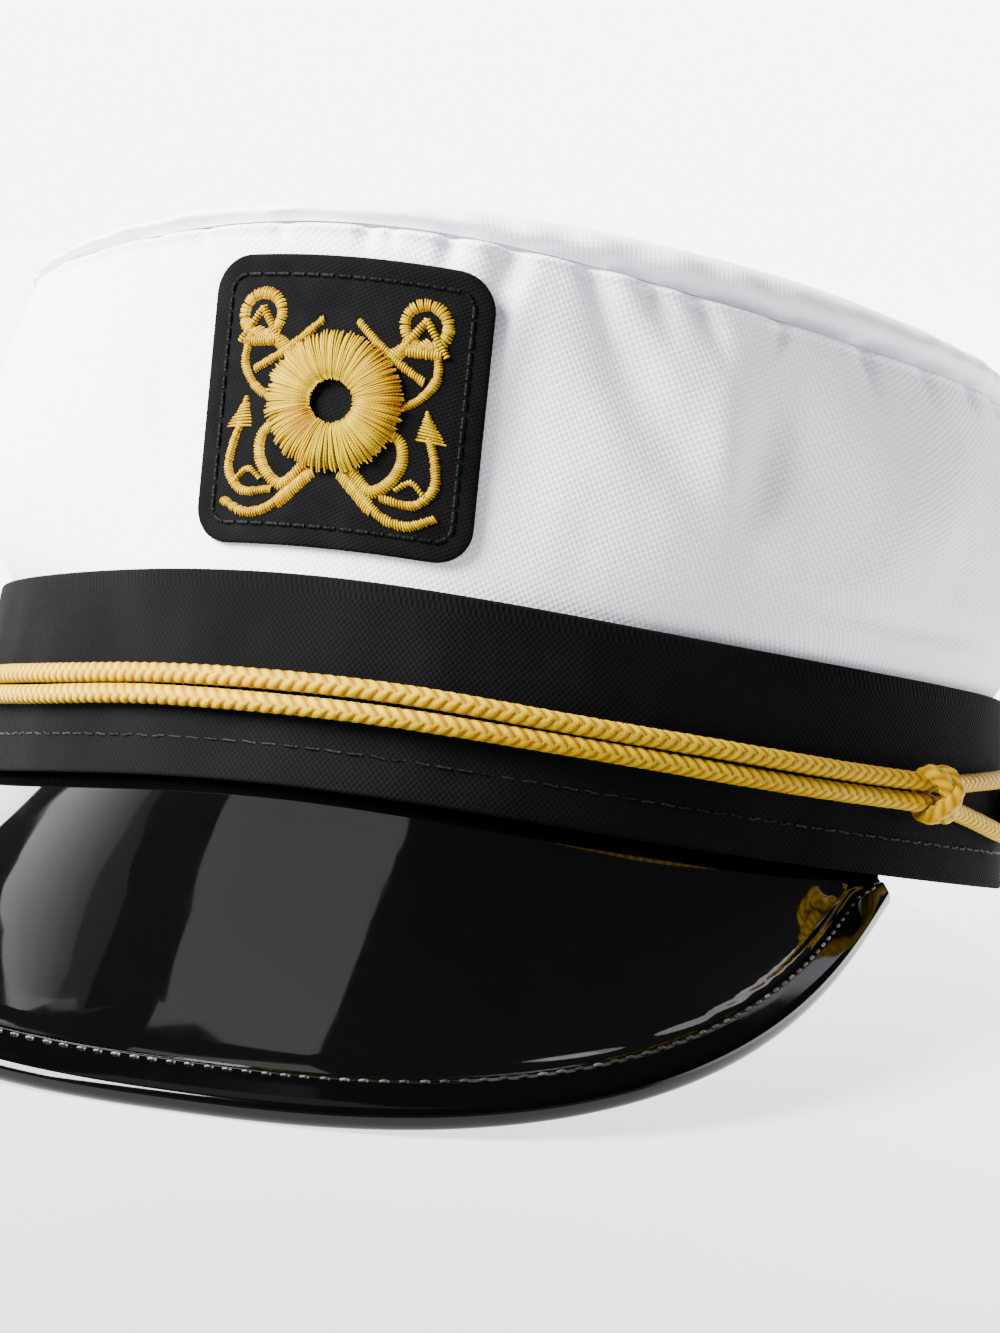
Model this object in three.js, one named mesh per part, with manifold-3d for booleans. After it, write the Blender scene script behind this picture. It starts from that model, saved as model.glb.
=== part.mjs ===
// Captain hat: a white cloth crown over a black band, with a glossy peak, a gold chin cord that
// is looped round two side buttons, and a black badge embroidered with crossed anchors.
// Millimetres. The hat is modelled with its rim level, its front towards -Y and +Z up, and is
// then leant back until the peak's edge and the back of the rim stand on one level surface.

import * as THREE from 'three';
import { TessellateModifier } from 'three/addons/modifiers/TessellateModifier.js';
import { mergeVertices } from 'three/addons/utils/BufferGeometryUtils.js';
import Module from 'manifold-3d';

// Sizes that are set by themselves
const clearance = 0.3; // between neighbouring pieces

const rimHalfWidth = 93; // band's outside, at the rim
const rimHalfLength = 98.4;
const rimNarrowing = 0.19; // share by which the head's oval is narrower in front
const bandHeight = 33.6;
const bandTaper = 2.8; // how far the band leans in over its height
const bandThickness = 2.2;
const frontArch = 3.9; // lift of rim and band over the forehead
const frontArchSpread = 0.78; // radians

const seamHalfWidth = 87.2; // crown's outside, at the seam under the top panel
const seamHalfLength = 95.2;
const seamNarrowing = 0.07;
const seamHeight = 85.4; // above the rim
const seamArch = 8.4; // lift of the seam over the badge
const clothThickness = 1.5;
const crownTuck = 8; // wall that is sewn inside the band
const sideSwell = 6.5; // how far the loose cloth swells out at the sides and back
const flatFrontAngle = 20; // degrees: flat from the middle to here, behind the badge
const fullSwellAngle = 75; // degrees: fully swelled from here back
const foldDepth = 3;
const domeHeight = 9.5; // top panel above its seam

const visorReach = 35.1; // board's tip in front of the rim
const visorDroop = 21.3; // degrees, plane of the visor's edge below the rim's plane
const visorEndAngle = 74.5; // degrees from the front
const visorThickness = 2;
const visorTuck = 6; // flange that is sewn inside the band
const bindingWidth = 8.2;
const bindingThickness = 0.8;

const cordDiameter = 3.3;
const cordHeight = 14.6; // middle of the two strands, above the rim
const knotAngle = 79; // degrees from the front
const knotStandOff = 2; // how far the strands stand off the band inside a knot
const buttonAngle = 101; // degrees from the front
const buttonRadius = 6;
const buttonStemRadius = 3;
const buttonDome = 3;

const patchWidth = 46.7;
const patchMargin = 4.9; // from the badge to the band and to the seam
const patchCornerRadius = 6;
const patchThickness = 1.2;
const patchAside = 0.4; // from the hat's middle
const patchDrop = 0.5; // below the middle of the front wall
const emblemMargin = 5; // from the embroidery to the badge's edge
const stitchHeight = 0.8; // how far the anchors stand up
const ringHeight = 1.5;

// Steps of the facets
const stepsRound = 54;
const visorSteps = 38;
const longestEdge = 8; // of an embroidered facet
const strandSteps = 42;
const turnSteps = 12;
const cordSides = 6;
const buttonSides = 12;
const shackleSides = 12;

// Sections of the crown's wall: height from band to seam, and share of the swell there
const wallSections = [
  { height: 0.03, swell: 0.16 },
  { height: 0.1, swell: 0.5 },
  { height: 0.2, swell: 0.8 },
  { height: 0.34, swell: 0.98 },
  { height: 0.5, swell: 1 },
  { height: 0.66, swell: 0.88 },
  { height: 0.8, swell: 0.62 },
  { height: 0.91, swell: 0.32 },
  { height: 1, swell: 0 },
];

// Folds of the crown's wall: angle and width in degrees, height and tallness as shares of the
// wall, lean in degrees per height, depth as a share of foldDepth (outwards is positive)
const folds = [
  { angle: 23, height: 0.55, wide: 4.5, tall: 0.4, lean: 3, depth: -0.35 },
  { angle: 31, height: 0.8, wide: 5, tall: 0.22, lean: -14, depth: -0.28 },
  { angle: 52, height: 0.62, wide: 8, tall: 0.36, lean: -16, depth: -0.8 },
  { angle: 68, height: 0.42, wide: 9, tall: 0.3, lean: 10, depth: 0.7 },
  { angle: 84, height: 0.12, wide: 14, tall: 0.12, lean: 0, depth: 0.75 },
  { angle: 62, height: 0.9, wide: 5, tall: 0.14, lean: 0, depth: -0.3 },
  { angle: 104, height: 0.6, wide: 8, tall: 0.34, lean: 12, depth: -0.7 },
  { angle: 133, height: 0.5, wide: 9, tall: 0.4, lean: -10, depth: -0.6 },
  { angle: 163, height: 0.58, wide: 10, tall: 0.36, lean: 8, depth: -0.65 },
  { angle: -160, height: 0.5, wide: 9, tall: 0.4, lean: -8, depth: -0.6 },
  { angle: -128, height: 0.6, wide: 9, tall: 0.36, lean: 12, depth: -0.7 },
  { angle: -98, height: 0.5, wide: 8, tall: 0.36, lean: -10, depth: -0.5 },
  { angle: -58, height: 0.4, wide: 14, tall: 0.34, lean: 0, depth: 0.3 },
];

// Sections of the top panel: reach as a share of the seam's oval, rise as a share of the dome,
// lean of the cloth in degrees (0 upright, 90 level)
const domeSections = [
  { reach: 1, rise: 0, lean: 0 },
  { reach: 1.007, rise: 0.2, lean: 5 },
  { reach: 1.002, rise: 0.38, lean: 25 },
  { reach: 0.985, rise: 0.53, lean: 48 },
  { reach: 0.95, rise: 0.66, lean: 66 },
  { reach: 0.87, rise: 0.79, lean: 77 },
  { reach: 0.72, rise: 0.9, lean: 84 },
  { reach: 0.5, rise: 0.97, lean: 88 },
  { reach: 0.22, rise: 1, lean: 90 },
];

// Lip of the top panel: where it is puffed up or pressed down, by angle in degrees
const lipPuffs = [
  { angle: -60, wide: 34, puff: -0.6 },
  { angle: -8, wide: 26, puff: -0.34 },
  { angle: 52, wide: 22, puff: 0.22 },
  { angle: 118, wide: 20, puff: 0.12 },
  { angle: 172, wide: 24, puff: -0.12 },
];

// Strokes of one anchor's half of the embroidery, as shares of the emblem's half size.
// The other half is its mirror image. Widths are shares too.
const anchorStrokes = [
  // Shank head
  { width: 0.15, points: [[-0.79, 0.6], [-0.68, 0.53], [-0.56, 0.55]] },
  // Shank
  { width: 0.15, points: [[-0.62, 0.56], [-0.5, 0.46], [-0.36, 0.34]] },
  // Outer curve
  { width: 0.08, points: [[-0.85, 0.55], [-0.87, 0.3], [-0.76, 0.12], [-0.5, -0.04]] },
  // Stock
  { width: 0.085, points: [[-0.76, 0.26], [-0.51, 0.41], [-0.33, 0.55], [-0.16, 0.71]] },
  // Outer arm
  { width: 0.08, points: [[-0.86, -0.22], [-0.93, -0.45], [-0.94, -0.64], [-0.81, -0.8],
    [-0.5, -0.79]] },
  // Inner arm
  { width: 0.12, points: [[-0.5, -0.2], [-0.62, -0.29], [-0.65, -0.44], [-0.58, -0.62],
    [-0.43, -0.74], [-0.16, -0.5]] },
  // Lower arm
  { width: 0.08, points: [[-0.97, -0.9], [-0.73, -1], [-0.54, -0.96], [-0.36, -0.81],
    [-0.16, -0.62]] },
];
const anchorFluke = [[-0.82, 0.02], [-1.0, -0.25], [-0.87, -0.19], [-0.85, -0.23], [-0.73, -0.24]];
const shackle = { x: -0.74, y: 0.74, radius: 0.225, hole: 0.12 };
const ring = { radius: 0.59, hole: 0.18, sides: 18 };
const emblemShift = -0.025; // the embroidery sits a little to one side on its badge

// Sizes that follow from them
const halfTurn = Math.PI;
const fullTurn = 2 * Math.PI;
const degrees = THREE.MathUtils.degToRad;
const cordRadius = cordDiameter / 2;
const cordOut = clearance + cordRadius; // strand's middle, outside the band
const strandHalfGap = cordRadius + clearance / 2;
const loopRadius = buttonStemRadius + clearance + cordRadius;
const frontWallHeight = seamHeight + seamArch - bandHeight - frontArch;
const patchHeight = frontWallHeight - 2 * patchMargin;
const emblemHalf = patchHeight / 2 - emblemMargin;
const visorEnd = degrees(visorEndAngle);

// Shapes that several pieces share

// Share of the front's lift at an angle from the front: a bell curve
function lift(angle) {
  return Math.exp(-((angle / frontArchSpread) ** 2));
}

// Turn in degrees from a direction given in degrees to an angle, at most half a turn either way
function degreesPast(from, angle) {
  return THREE.MathUtils.euclideanModulo(THREE.MathUtils.radToDeg(angle) - from + 180, 360) - 180;
}

// Bell curve of a turn in degrees, one at a direction and falling off over a width
function bell(from, angle, wide) {
  return Math.exp(-((degreesPast(from, angle) / wide) ** 2));
}

// Point of an oval that is narrower in front: x = w sin(a) (1 - n cos(a)), y = -l cos(a),
// moved outwards along its normal
function ovalPoint(angle, halfWidth, halfLength, narrowing, out) {
  const x = halfWidth * Math.sin(angle) * (1 - narrowing * Math.cos(angle));
  const y = -halfLength * Math.cos(angle);
  const alongX = halfWidth * (Math.cos(angle) - narrowing * Math.cos(2 * angle));
  const alongY = halfLength * Math.sin(angle);
  const length = Math.hypot(alongX, alongY);
  return new THREE.Vector3(x + (out * alongY) / length, y - (out * alongX) / length, 0);
}

// Point on the band, at a height above the rim and a distance out from its outside
function bandPoint(angle, height, out) {
  const inset = (bandTaper * height) / bandHeight;
  const point = ovalPoint(angle, rimHalfWidth - inset, rimHalfLength - inset, rimNarrowing, out);
  point.z = height + frontArch * lift(angle);
  return point;
}

// How far the folds move the crown's cloth at an angle and a share of the wall's height
function foldAt(angle, share) {
  let sum = 0;
  for (const fold of folds) {
    const rise = share - fold.height;
    const middle = fold.angle + fold.lean * rise;
    sum += fold.depth * bell(middle, angle, fold.wide) * Math.exp(-((rise / fold.tall) ** 2));
  }
  return foldDepth * sum * Math.sin(halfTurn * THREE.MathUtils.clamp(share, 0, 1));
}

// Share of the swell at a height, read between the sections
function swellAt(share) {
  let below = { height: 0, swell: 0 };
  for (const above of wallSections) {
    if (share <= above.height) {
      const part = (share - below.height) / (above.height - below.height);
      return THREE.MathUtils.lerp(below.swell, above.swell, Math.max(part, 0));
    }
    below = above;
  }
  return 0;
}

// Point on the crown's wall, at a share of its height and a distance out from its outside.
// The front is held flat behind the badge, and the sides and back swell.
function crownPoint(angle, share, out) {
  const foot = bandPoint(angle, bandHeight, -bandThickness - clearance);
  const head = ovalPoint(angle, seamHalfWidth, seamHalfLength, seamNarrowing, 0);
  head.z = seamHeight + seamArch * lift(angle);
  const side = THREE.MathUtils.smoothstep(Math.abs(degreesPast(0, angle)), flatFrontAngle, fullSwellAngle);
  const bulge = sideSwell * side * swellAt(share) + foldAt(angle, share) + out;
  const normal = ovalPoint(angle, seamHalfWidth, seamHalfLength, seamNarrowing, 1);
  normal.sub(ovalPoint(angle, seamHalfWidth, seamHalfLength, seamNarrowing, 0));
  return foot.lerp(head, share).addScaledVector(normal, bulge);
}

// Point on the badge's seat: across and up from its middle, and out from the crown's cloth
function patchPoint(across, up, out) {
  const share = 0.5 + (up - patchDrop) / frontWallHeight;
  const footRadius = (rimHalfWidth - bandTaper - bandThickness) * (1 - rimNarrowing);
  const frontRadius = THREE.MathUtils.lerp(footRadius, seamHalfWidth * (1 - seamNarrowing), share);
  return crownPoint((across + patchAside) / frontRadius, share, clearance + out);
}

// Closed mesh through a row of like sections. A ring joins its last section to its first. Else
// the two ends are closed by a fan, or by a strip between a wall's outside and inside.
function loft(sections, ends) {
  const count = sections[0].length;
  const points = sections.flat();
  const faces = [];
  const spans = ends === 'ring' ? sections.length : sections.length - 1;
  for (let i = 0; i < spans; i++) {
    const here = i * count;
    const next = ((i + 1) % sections.length) * count;
    for (let j = 0; j < count; j++) {
      const k = (j + 1) % count;
      faces.push([here + j, next + j, next + k], [here + j, next + k, here + k]);
    }
  }
  const lastStart = (sections.length - 1) * count;
  if (ends === 'fan') {
    for (const [start, turned] of [[0, false], [lastStart, true]]) {
      const middle = new THREE.Vector3();
      sections[start / count].forEach((point) => middle.addScaledVector(point, 1 / count));
      points.push(middle);
      for (let j = 0; j < count; j++) {
        const face = [points.length - 1, start + j, start + ((j + 1) % count)];
        faces.push(turned ? face.reverse() : face);
      }
    }
  }
  if (ends === 'strip') {
    for (const [start, turned] of [[0, false], [lastStart, true]]) {
      for (let j = 0; j < count / 2 - 1; j++) {
        const a = start + j;
        const b = start + j + 1;
        const c = start + count - 2 - j;
        const d = start + count - 1 - j;
        faces.push(turned ? [c, b, a] : [a, b, c], turned ? [d, c, a] : [a, c, d]);
      }
    }
  }
  return meshFrom(points, faces);
}

// Geometry from points and triangles, with its faces turned outwards
function meshFrom(points, faces) {
  let volume = 0;
  for (const [a, b, c] of faces) {
    volume += points[a].dot(new THREE.Vector3().crossVectors(points[b], points[c]));
  }
  const outwards = volume > 0 ? faces : faces.map(([a, b, c]) => [a, c, b]);
  const geometry = new THREE.BufferGeometry().setFromPoints(points);
  geometry.setIndex(outwards.flat());
  return geometry;
}

// Geometry whose like points are one point, without the triangles that this closes up
function weld(geometry) {
  const bare = geometry.clone();
  bare.deleteAttribute('normal');
  bare.deleteAttribute('uv');
  const merged = mergeVertices(bare);
  const index = merged.index.array;
  const kept = [];
  for (let i = 0; i < index.length; i += 3) {
    const [a, b, c] = index.slice(i, i + 3);
    if (a !== b && b !== c && c !== a) kept.push(a, b, c);
  }
  merged.setIndex(kept);
  return merged;
}

const wasm = await Module();
wasm.setup();

// Joins closed geometries into one solid's geometry
function join(geometries) {
  const solids = geometries.map((geometry) => {
    const welded = weld(geometry);
    return new wasm.Manifold(new wasm.Mesh({
      numProp: 3,
      vertProperties: new Float32Array(welded.attributes.position.array),
      triVerts: new Uint32Array(welded.index.array),
    }));
  });
  const joined = solids.reduce((sum, solid) => sum.add(solid)).getMesh();
  const geometry = new THREE.BufferGeometry();
  geometry.setAttribute('position', new THREE.BufferAttribute(joined.vertProperties, 3));
  geometry.setIndex(Array.from(joined.triVerts));
  return geometry;
}

// Moves every point of a geometry to where a function puts it, once its long edges are split
// so that it can follow a bent seat
function bend(geometry, place) {
  const rounds = 8;
  const split = new TessellateModifier(longestEdge, rounds).modify(geometry);
  const bent = weld(split);
  const position = bent.attributes.position;
  for (let i = 0; i < position.count; i++) {
    const to = place(position.getX(i), position.getY(i), position.getZ(i));
    position.setXYZ(i, to.x, to.y, to.z);
  }
  return bent;
}

function anglesRound() {
  return Array.from({ length: stepsRound }, (_, i) => -halfTurn + (i * fullTurn) / stepsRound);
}

// Band: an upright wall round the head
function bandGeometry() {
  const sections = anglesRound().map((angle) => [
    bandPoint(angle, 0, 0),
    bandPoint(angle, bandHeight, 0),
    bandPoint(angle, bandHeight, -bandThickness),
    bandPoint(angle, 0, -bandThickness),
  ]);
  return loft(sections, 'ring');
}

// Crown's wall: sewn inside the band, swelling above it, and drawn in again at the seam
function crownSideGeometry() {
  const sections = anglesRound().map((angle) => {
    const side = (out) => [
      bandPoint(angle, bandHeight - crownTuck, out - bandThickness - clearance),
      bandPoint(angle, bandHeight, out - bandThickness - clearance),
      ...wallSections.map((row) => crownPoint(angle, row.height, out)),
    ];
    return [...side(0), ...side(-clothThickness).reverse()];
  });
  return loft(sections, 'ring');
}

// Point of the top panel at an angle, on one of its sections, out and up from its outside
function domePoint(angle, row, out) {
  const lean = degrees(row.lean);
  let rise = row.rise;
  for (const lip of lipPuffs) {
    rise += row.rise * row.reach * lip.puff * bell(lip.angle, angle, lip.wide);
  }
  const point = ovalPoint(angle, seamHalfWidth * row.reach, seamHalfLength * row.reach, seamNarrowing,
    out * Math.cos(lean));
  const seat = seamHeight + seamArch * lift(angle) * row.reach ** 2 + clearance;
  point.z = seat + domeHeight * rise + out * Math.sin(lean);
  return point;
}

// Top panel: a shallow dome whose lip rolls down onto the seam
function crownTopGeometry() {
  const shell = (out) => domeSections.map((row) => anglesRound().map((angle) => domePoint(angle, row, out)));
  return loft([...shell(0).reverse(), ...shell(-clothThickness)], 'fan');
}

// Line along the band's bottom that the visor hangs from, from its right end to its left end
class VisorRoot extends THREE.Curve {
  getPoint(share, target = new THREE.Vector3()) {
    const angle = visorEnd * (2 * share - 1);
    target.copy(bandPoint(angle, 0, -bandThickness - clearance));
    return target.setZ(frontArch * lift(angle) - clearance);
  }
}

// Free edge of the visor: a rounded oblong outline in one drooping plane. With w the share of
// the half width, the edge is s = S (1 - |w|^p)^(1/q) along the plane from the visor's ends.
class VisorEdge extends THREE.Curve {
  getPoint(share, target = new THREE.Vector3()) {
    const sideCurve = 2.5;
    const frontCurve = 3.2;
    const droop = degrees(visorDroop);
    const inset = bindingThickness + clearance;
    const end = ovalPoint(visorEnd, rimHalfWidth, rimHalfLength, rimNarrowing, -inset);
    const depth = (rimHalfLength + visorReach + end.y) / Math.cos(droop);
    const width = Math.sin(halfTurn * (share - 0.5));
    const along = depth * (1 - Math.abs(width) ** sideCurve) ** (1 / frontCurve);
    const drop = along * Math.sin(droop) + inset + clearance;
    return target.set(end.x * width, end.y - along * Math.cos(droop), -drop);
  }
}

// Frame of the visor at a share of its length round: the root, the edge, the way from one to
// the other, and the way out of its upper face
const visorRoot = new VisorRoot();
const visorEdge = new VisorEdge();
function visorFrame(share) {
  const rootShare = visorRoot.getUtoTmapping(share);
  const root = visorRoot.getPoint(rootShare);
  const angle = visorEnd * (2 * rootShare - 1);
  const edge = visorEdge.getPointAt(share);
  const way = edge.clone().sub(root);
  const depth = way.length();
  way.normalize();
  const normal = new THREE.Vector3().crossVectors(way, visorEdge.getTangentAt(share)).normalize();
  return { angle, root, edge, way, depth, normal };
}

// Shares along the visor, closer together towards its two ends
function visorShares(endShare) {
  return Array.from({ length: visorSteps + 1 }, (_, i) => {
    const turn = halfTurn * (i / visorSteps - 0.5);
    return 0.5 + (0.5 - endShare) * Math.sin(turn);
  });
}

// Visor: a flange inside the band, then the drooping board
function visorGeometry() {
  const rows = [0, 0.3, 0.6, 0.82, 1];
  const endShare = 0.008;
  const sections = visorShares(endShare).map((share) => {
    const { angle, root, way, depth, normal } = visorFrame(share);
    const side = (inwards) => [
      bandPoint(angle, visorTuck, -bandThickness - clearance - inwards),
      ...rows.map((row) => root.clone().addScaledVector(way, depth * row).addScaledVector(normal, -inwards)),
    ];
    return [...side(0), ...side(visorThickness).reverse()];
  });
  return loft(sections, 'strip');
}

// Binding: a strip folded round the visor's edge, narrower where the visor runs out
function visorBindingGeometry() {
  const endShare = 0.013;
  const widestLeg = 0.6; // share of the visor's depth
  const noseAngles = [90, 45, 0, -45, -90];
  const sections = visorShares(endShare).map((share) => {
    const { edge, way, depth, normal } = visorFrame(share);
    const leg = Math.min(bindingWidth, widestLeg * depth);
    const middle = edge.clone().addScaledVector(normal, -visorThickness / 2);
    const hairpin = (radius) => {
      const nose = noseAngles.map((turn) => middle.clone()
        .addScaledVector(way, radius * Math.cos(degrees(turn)))
        .addScaledVector(normal, radius * Math.sin(degrees(turn))));
      const first = nose[0].clone().addScaledVector(way, -leg);
      const last = nose[nose.length - 1].clone().addScaledVector(way, -leg);
      return [first, ...nose, last];
    };
    const inside = visorThickness / 2 + clearance;
    return [...hairpin(inside + bindingThickness), ...hairpin(inside).reverse()];
  });
  return loft(sections, 'strip');
}

// Closed tube through a ring of points. Its sections stand square to the line, and turn with
// the direction that facing gives for each point.
function closedTube(points, radius, sides, facing) {
  const sections = points.map((middle, i) => {
    const before = points[(i + points.length - 1) % points.length];
    const after = points[(i + 1) % points.length];
    const way = after.clone().sub(before).normalize();
    const across = new THREE.Vector3().crossVectors(way, facing(middle)).normalize();
    const up = new THREE.Vector3().crossVectors(across, way);
    return Array.from({ length: sides }, (_, j) => {
      const turn = (fullTurn * j) / sides;
      return middle.clone()
        .addScaledVector(across, radius * Math.cos(turn))
        .addScaledVector(up, radius * Math.sin(turn));
    });
  });
  return loft(sections, 'ring');
}

// Half the distance between the two strands at an angle: side by side along the front, and
// spreading past each knot to go round the button
function strandSpread(angle) {
  const past = THREE.MathUtils.smoothstep(Math.abs(angle), degrees(knotAngle), degrees(buttonAngle));
  return THREE.MathUtils.lerp(strandHalfGap, loopRadius, past);
}

// The cord stands off a little more at its knots, where it passes round itself
function cordStandOff(angle) {
  const knotSpread = 5;
  return cordOut + knotStandOff * bell(knotAngle, Math.abs(angle), knotSpread);
}

// Whole loop of the chin cord: over the front on the upper strand, round one button, back on the
// lower strand, and round the other button
function chinLoop() {
  const end = degrees(buttonAngle);
  const points = [];
  for (const side of [1, -1]) {
    for (let i = 0; i <= strandSteps; i++) {
      const angle = side * end * ((2 * i) / strandSteps - 1);
      points.push(bandPoint(angle, cordHeight + side * strandSpread(angle), cordStandOff(angle)));
    }
    const button = bandPoint(side * end, cordHeight, cordOut);
    const back = bandPoint(side * (end + degrees(1)), cordHeight, cordOut).sub(button).normalize();
    for (const turn of [60, 30, 0, -30, -60]) {
      const point = button.clone().addScaledVector(back, loopRadius * Math.cos(degrees(turn)));
      point.z += side * loopRadius * Math.sin(degrees(turn));
      points.push(point);
    }
  }
  return points;
}

// One turn of a knot: an oval ring of cord round both strands, leant to one side
function knotTurnGeometry(angle, lean) {
  const middle = bandPoint(angle, cordHeight, cordStandOff(angle));
  const out = bandPoint(angle, cordHeight, cordStandOff(angle) + 1).sub(middle);
  const along = bandPoint(angle + degrees(1), cordHeight, cordStandOff(angle)).sub(middle).normalize();
  const tall = 1.1 * cordDiameter;
  const deep = 0.75 * cordDiameter;
  const forwards = 0.2 * cordDiameter;
  const pressed = 0.9; // share of the cord's radius
  const points = Array.from({ length: turnSteps }, (_, i) => {
    const turn = (fullTurn * i) / turnSteps;
    const rise = tall * Math.sin(turn);
    return middle.clone()
      .addScaledVector(along, rise * Math.sin(degrees(lean)))
      .addScaledVector(out, deep * Math.cos(turn) + forwards)
      .add(new THREE.Vector3(0, 0, rise * Math.cos(degrees(lean))));
  });
  return closedTube(points, pressed * cordRadius, cordSides, () => along);
}

// Middle of a knot, where the cord is pressed together behind the strands
function knotCoreGeometry(angle) {
  const radius = 1.5 * cordRadius;
  const taller = 1.3; // times as tall as it is wide
  const sidesRound = 8;
  const sidesUp = 6;
  const core = new THREE.SphereGeometry(radius, sidesRound, sidesUp);
  const middle = bandPoint(angle, cordHeight, cordStandOff(angle) - knotStandOff / 2);
  return core.scale(1, 1, taller).translate(middle.x, middle.y, middle.z);
}

function chinCordGeometry() {
  const knotLeans = [-32, 26];
  const outOfBand = (point) => new THREE.Vector3(point.x, point.y, 0);
  const tubes = [closedTube(chinLoop(), cordRadius, cordSides, outOfBand)];
  for (const side of [1, -1]) {
    const angle = side * degrees(knotAngle);
    tubes.push(knotCoreGeometry(angle));
    for (const lean of knotLeans) {
      tubes.push(knotTurnGeometry(angle, side * lean));
    }
  }
  return join(tubes);
}

// Side button: a stem for the cord to go round, under a domed head
function buttonGeometry() {
  const stemLength = cordDiameter + 2 * clearance;
  const profile = [
    [0, 0],
    [buttonStemRadius, 0],
    [buttonStemRadius, stemLength],
    [buttonRadius, stemLength],
    [buttonRadius, stemLength + 0.3 * buttonDome],
    [0.86 * buttonRadius, stemLength + 0.68 * buttonDome],
    [0.5 * buttonRadius, stemLength + 0.93 * buttonDome],
    [0, stemLength + buttonDome],
  ];
  return weld(new THREE.LatheGeometry(profile.map(([x, y]) => new THREE.Vector2(x, y)), buttonSides));
}

// Badge: a bent cloth square with round corners, in upright strips from side to side
function patchGeometry() {
  const halfWidth = patchWidth / 2;
  const flatHalf = halfWidth - patchCornerRadius;
  const cornerTurns = [90, 68, 45, 22, 6];
  const corner = cornerTurns.map((turn) => flatHalf + patchCornerRadius * Math.sin(degrees(turn)));
  const flat = [0.75, 0.5, 0.25, 0].map((part) => flatHalf * part);
  const rightHalf = [...corner, flatHalf, ...flat];
  const columns = [...rightHalf.map((x) => -x), ...rightHalf.slice(0, -1).reverse()];
  const rows = [-1, -0.6, -0.2, 0.2, 0.6, 1];
  const sections = columns.map((x) => {
    const into = Math.max(Math.abs(x) - flatHalf, 0) / patchCornerRadius;
    const cut = patchCornerRadius * (1 - Math.sqrt(Math.max(1 - into ** 2, 0)));
    const top = patchHeight / 2 - cut;
    const side = (out) => rows.map((row) => patchPoint(x, row * top, out));
    return [...side(patchThickness), ...side(0).reverse()];
  });
  return loft(sections, 'strip');
}

// Stroke of embroidery: a flat strip along a smooth line, from the badge's face upwards
function strokeGeometry(points, width) {
  const steps = 2 * (points.length - 1);
  const line = new THREE.CatmullRomCurve3(points.map(([x, y]) => new THREE.Vector3(x, y, 0)));
  const sections = Array.from({ length: steps + 1 }, (_, i) => {
    const middle = line.getPointAt(i / steps);
    const way = line.getTangentAt(i / steps);
    const across = new THREE.Vector3(-way.y, way.x, 0).multiplyScalar(width / 2);
    const up = new THREE.Vector3(0, 0, stitchHeight);
    const left = middle.clone().add(across);
    const right = middle.clone().sub(across);
    return [left, left.clone().add(up), right.clone().add(up), right];
  });
  return loft(sections, 'strip');
}

// Flat shape of embroidery, such as a fluke or a ring of stitches
function flatGeometry(outline, holes) {
  const shape = new THREE.Shape(outline);
  shape.holes = holes.map((hole) => new THREE.Path(hole));
  return new THREE.ExtrudeGeometry(shape, { depth: stitchHeight, bevelEnabled: false });
}

function circlePoints(x, y, radius, sides) {
  return Array.from({ length: sides }, (_, i) => {
    const turn = (fullTurn * i) / sides;
    return new THREE.Vector2(x + radius * Math.cos(turn), y + radius * Math.sin(turn));
  });
}

// Both anchors, joined by the flat ring of stitches under the thick ring
function emblemAnchorsGeometry() {
  const underRing = ring.radius * 0.92;
  const underHole = ring.hole * 1.5;
  const shapes = [flatGeometry(
    circlePoints(0, 0, underRing * emblemHalf, ring.sides),
    [circlePoints(0, 0, underHole * emblemHalf, ring.sides)],
  )];
  for (const side of [1, -1]) {
    for (const { width, points } of anchorStrokes) {
      const placed = points.map(([x, y]) => [side * x * emblemHalf, y * emblemHalf]);
      shapes.push(strokeGeometry(placed, width * emblemHalf));
    }
    const outline = anchorFluke.map(([x, y]) => new THREE.Vector2(side * x * emblemHalf, y * emblemHalf));
    shapes.push(flatGeometry(outline, []));
    const x = side * shackle.x * emblemHalf;
    const y = shackle.y * emblemHalf;
    shapes.push(flatGeometry(
      circlePoints(x, y, shackle.radius * emblemHalf, shackleSides),
      [circlePoints(x, y, shackle.hole * emblemHalf, shackleSides)],
    ));
  }
  return bend(join(shapes), (x, y, z) => emblemPoint(x, y, clearance + z));
}

// Point of the embroidery: across, up, and out from the badge's face
function emblemPoint(across, up, out) {
  return patchPoint(across + emblemShift * emblemHalf, up, patchThickness + out);
}

// Thick embroidered ring, rounded from its hole to its outside, above the anchors
function emblemRingGeometry() {
  const inner = ring.hole * emblemHalf;
  const outer = ring.radius * emblemHalf;
  const profile = [
    { reach: 0, rise: 0 },
    { reach: 1, rise: 0 },
    { reach: 1, rise: 0.35 },
    { reach: 0.85, rise: 0.85 },
    { reach: 0.55, rise: 1 },
    { reach: 0.22, rise: 0.85 },
    { reach: 0, rise: 0.4 },
    { reach: 0, rise: 0 },
  ].map(({ reach, rise }) => new THREE.Vector2(THREE.MathUtils.lerp(inner, outer, reach), rise * ringHeight));
  const turned = new THREE.LatheGeometry(profile, ring.sides).rotateX(halfTurn / 2);
  return bend(turned, (x, y, z) => emblemPoint(x, y, 2 * clearance + stitchHeight + z));
}

// Finish that isn't metal
function finish(color, roughness) {
  return new THREE.MeshStandardMaterial({ color, roughness, metalness: 0 });
}

// The hat, with its rim level
const hat = new THREE.Group();

function addPiece(name, geometry, material) {
  const mesh = new THREE.Mesh(weld(geometry), material);
  mesh.name = name;
  hat.add(mesh);
  return mesh;
}

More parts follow.
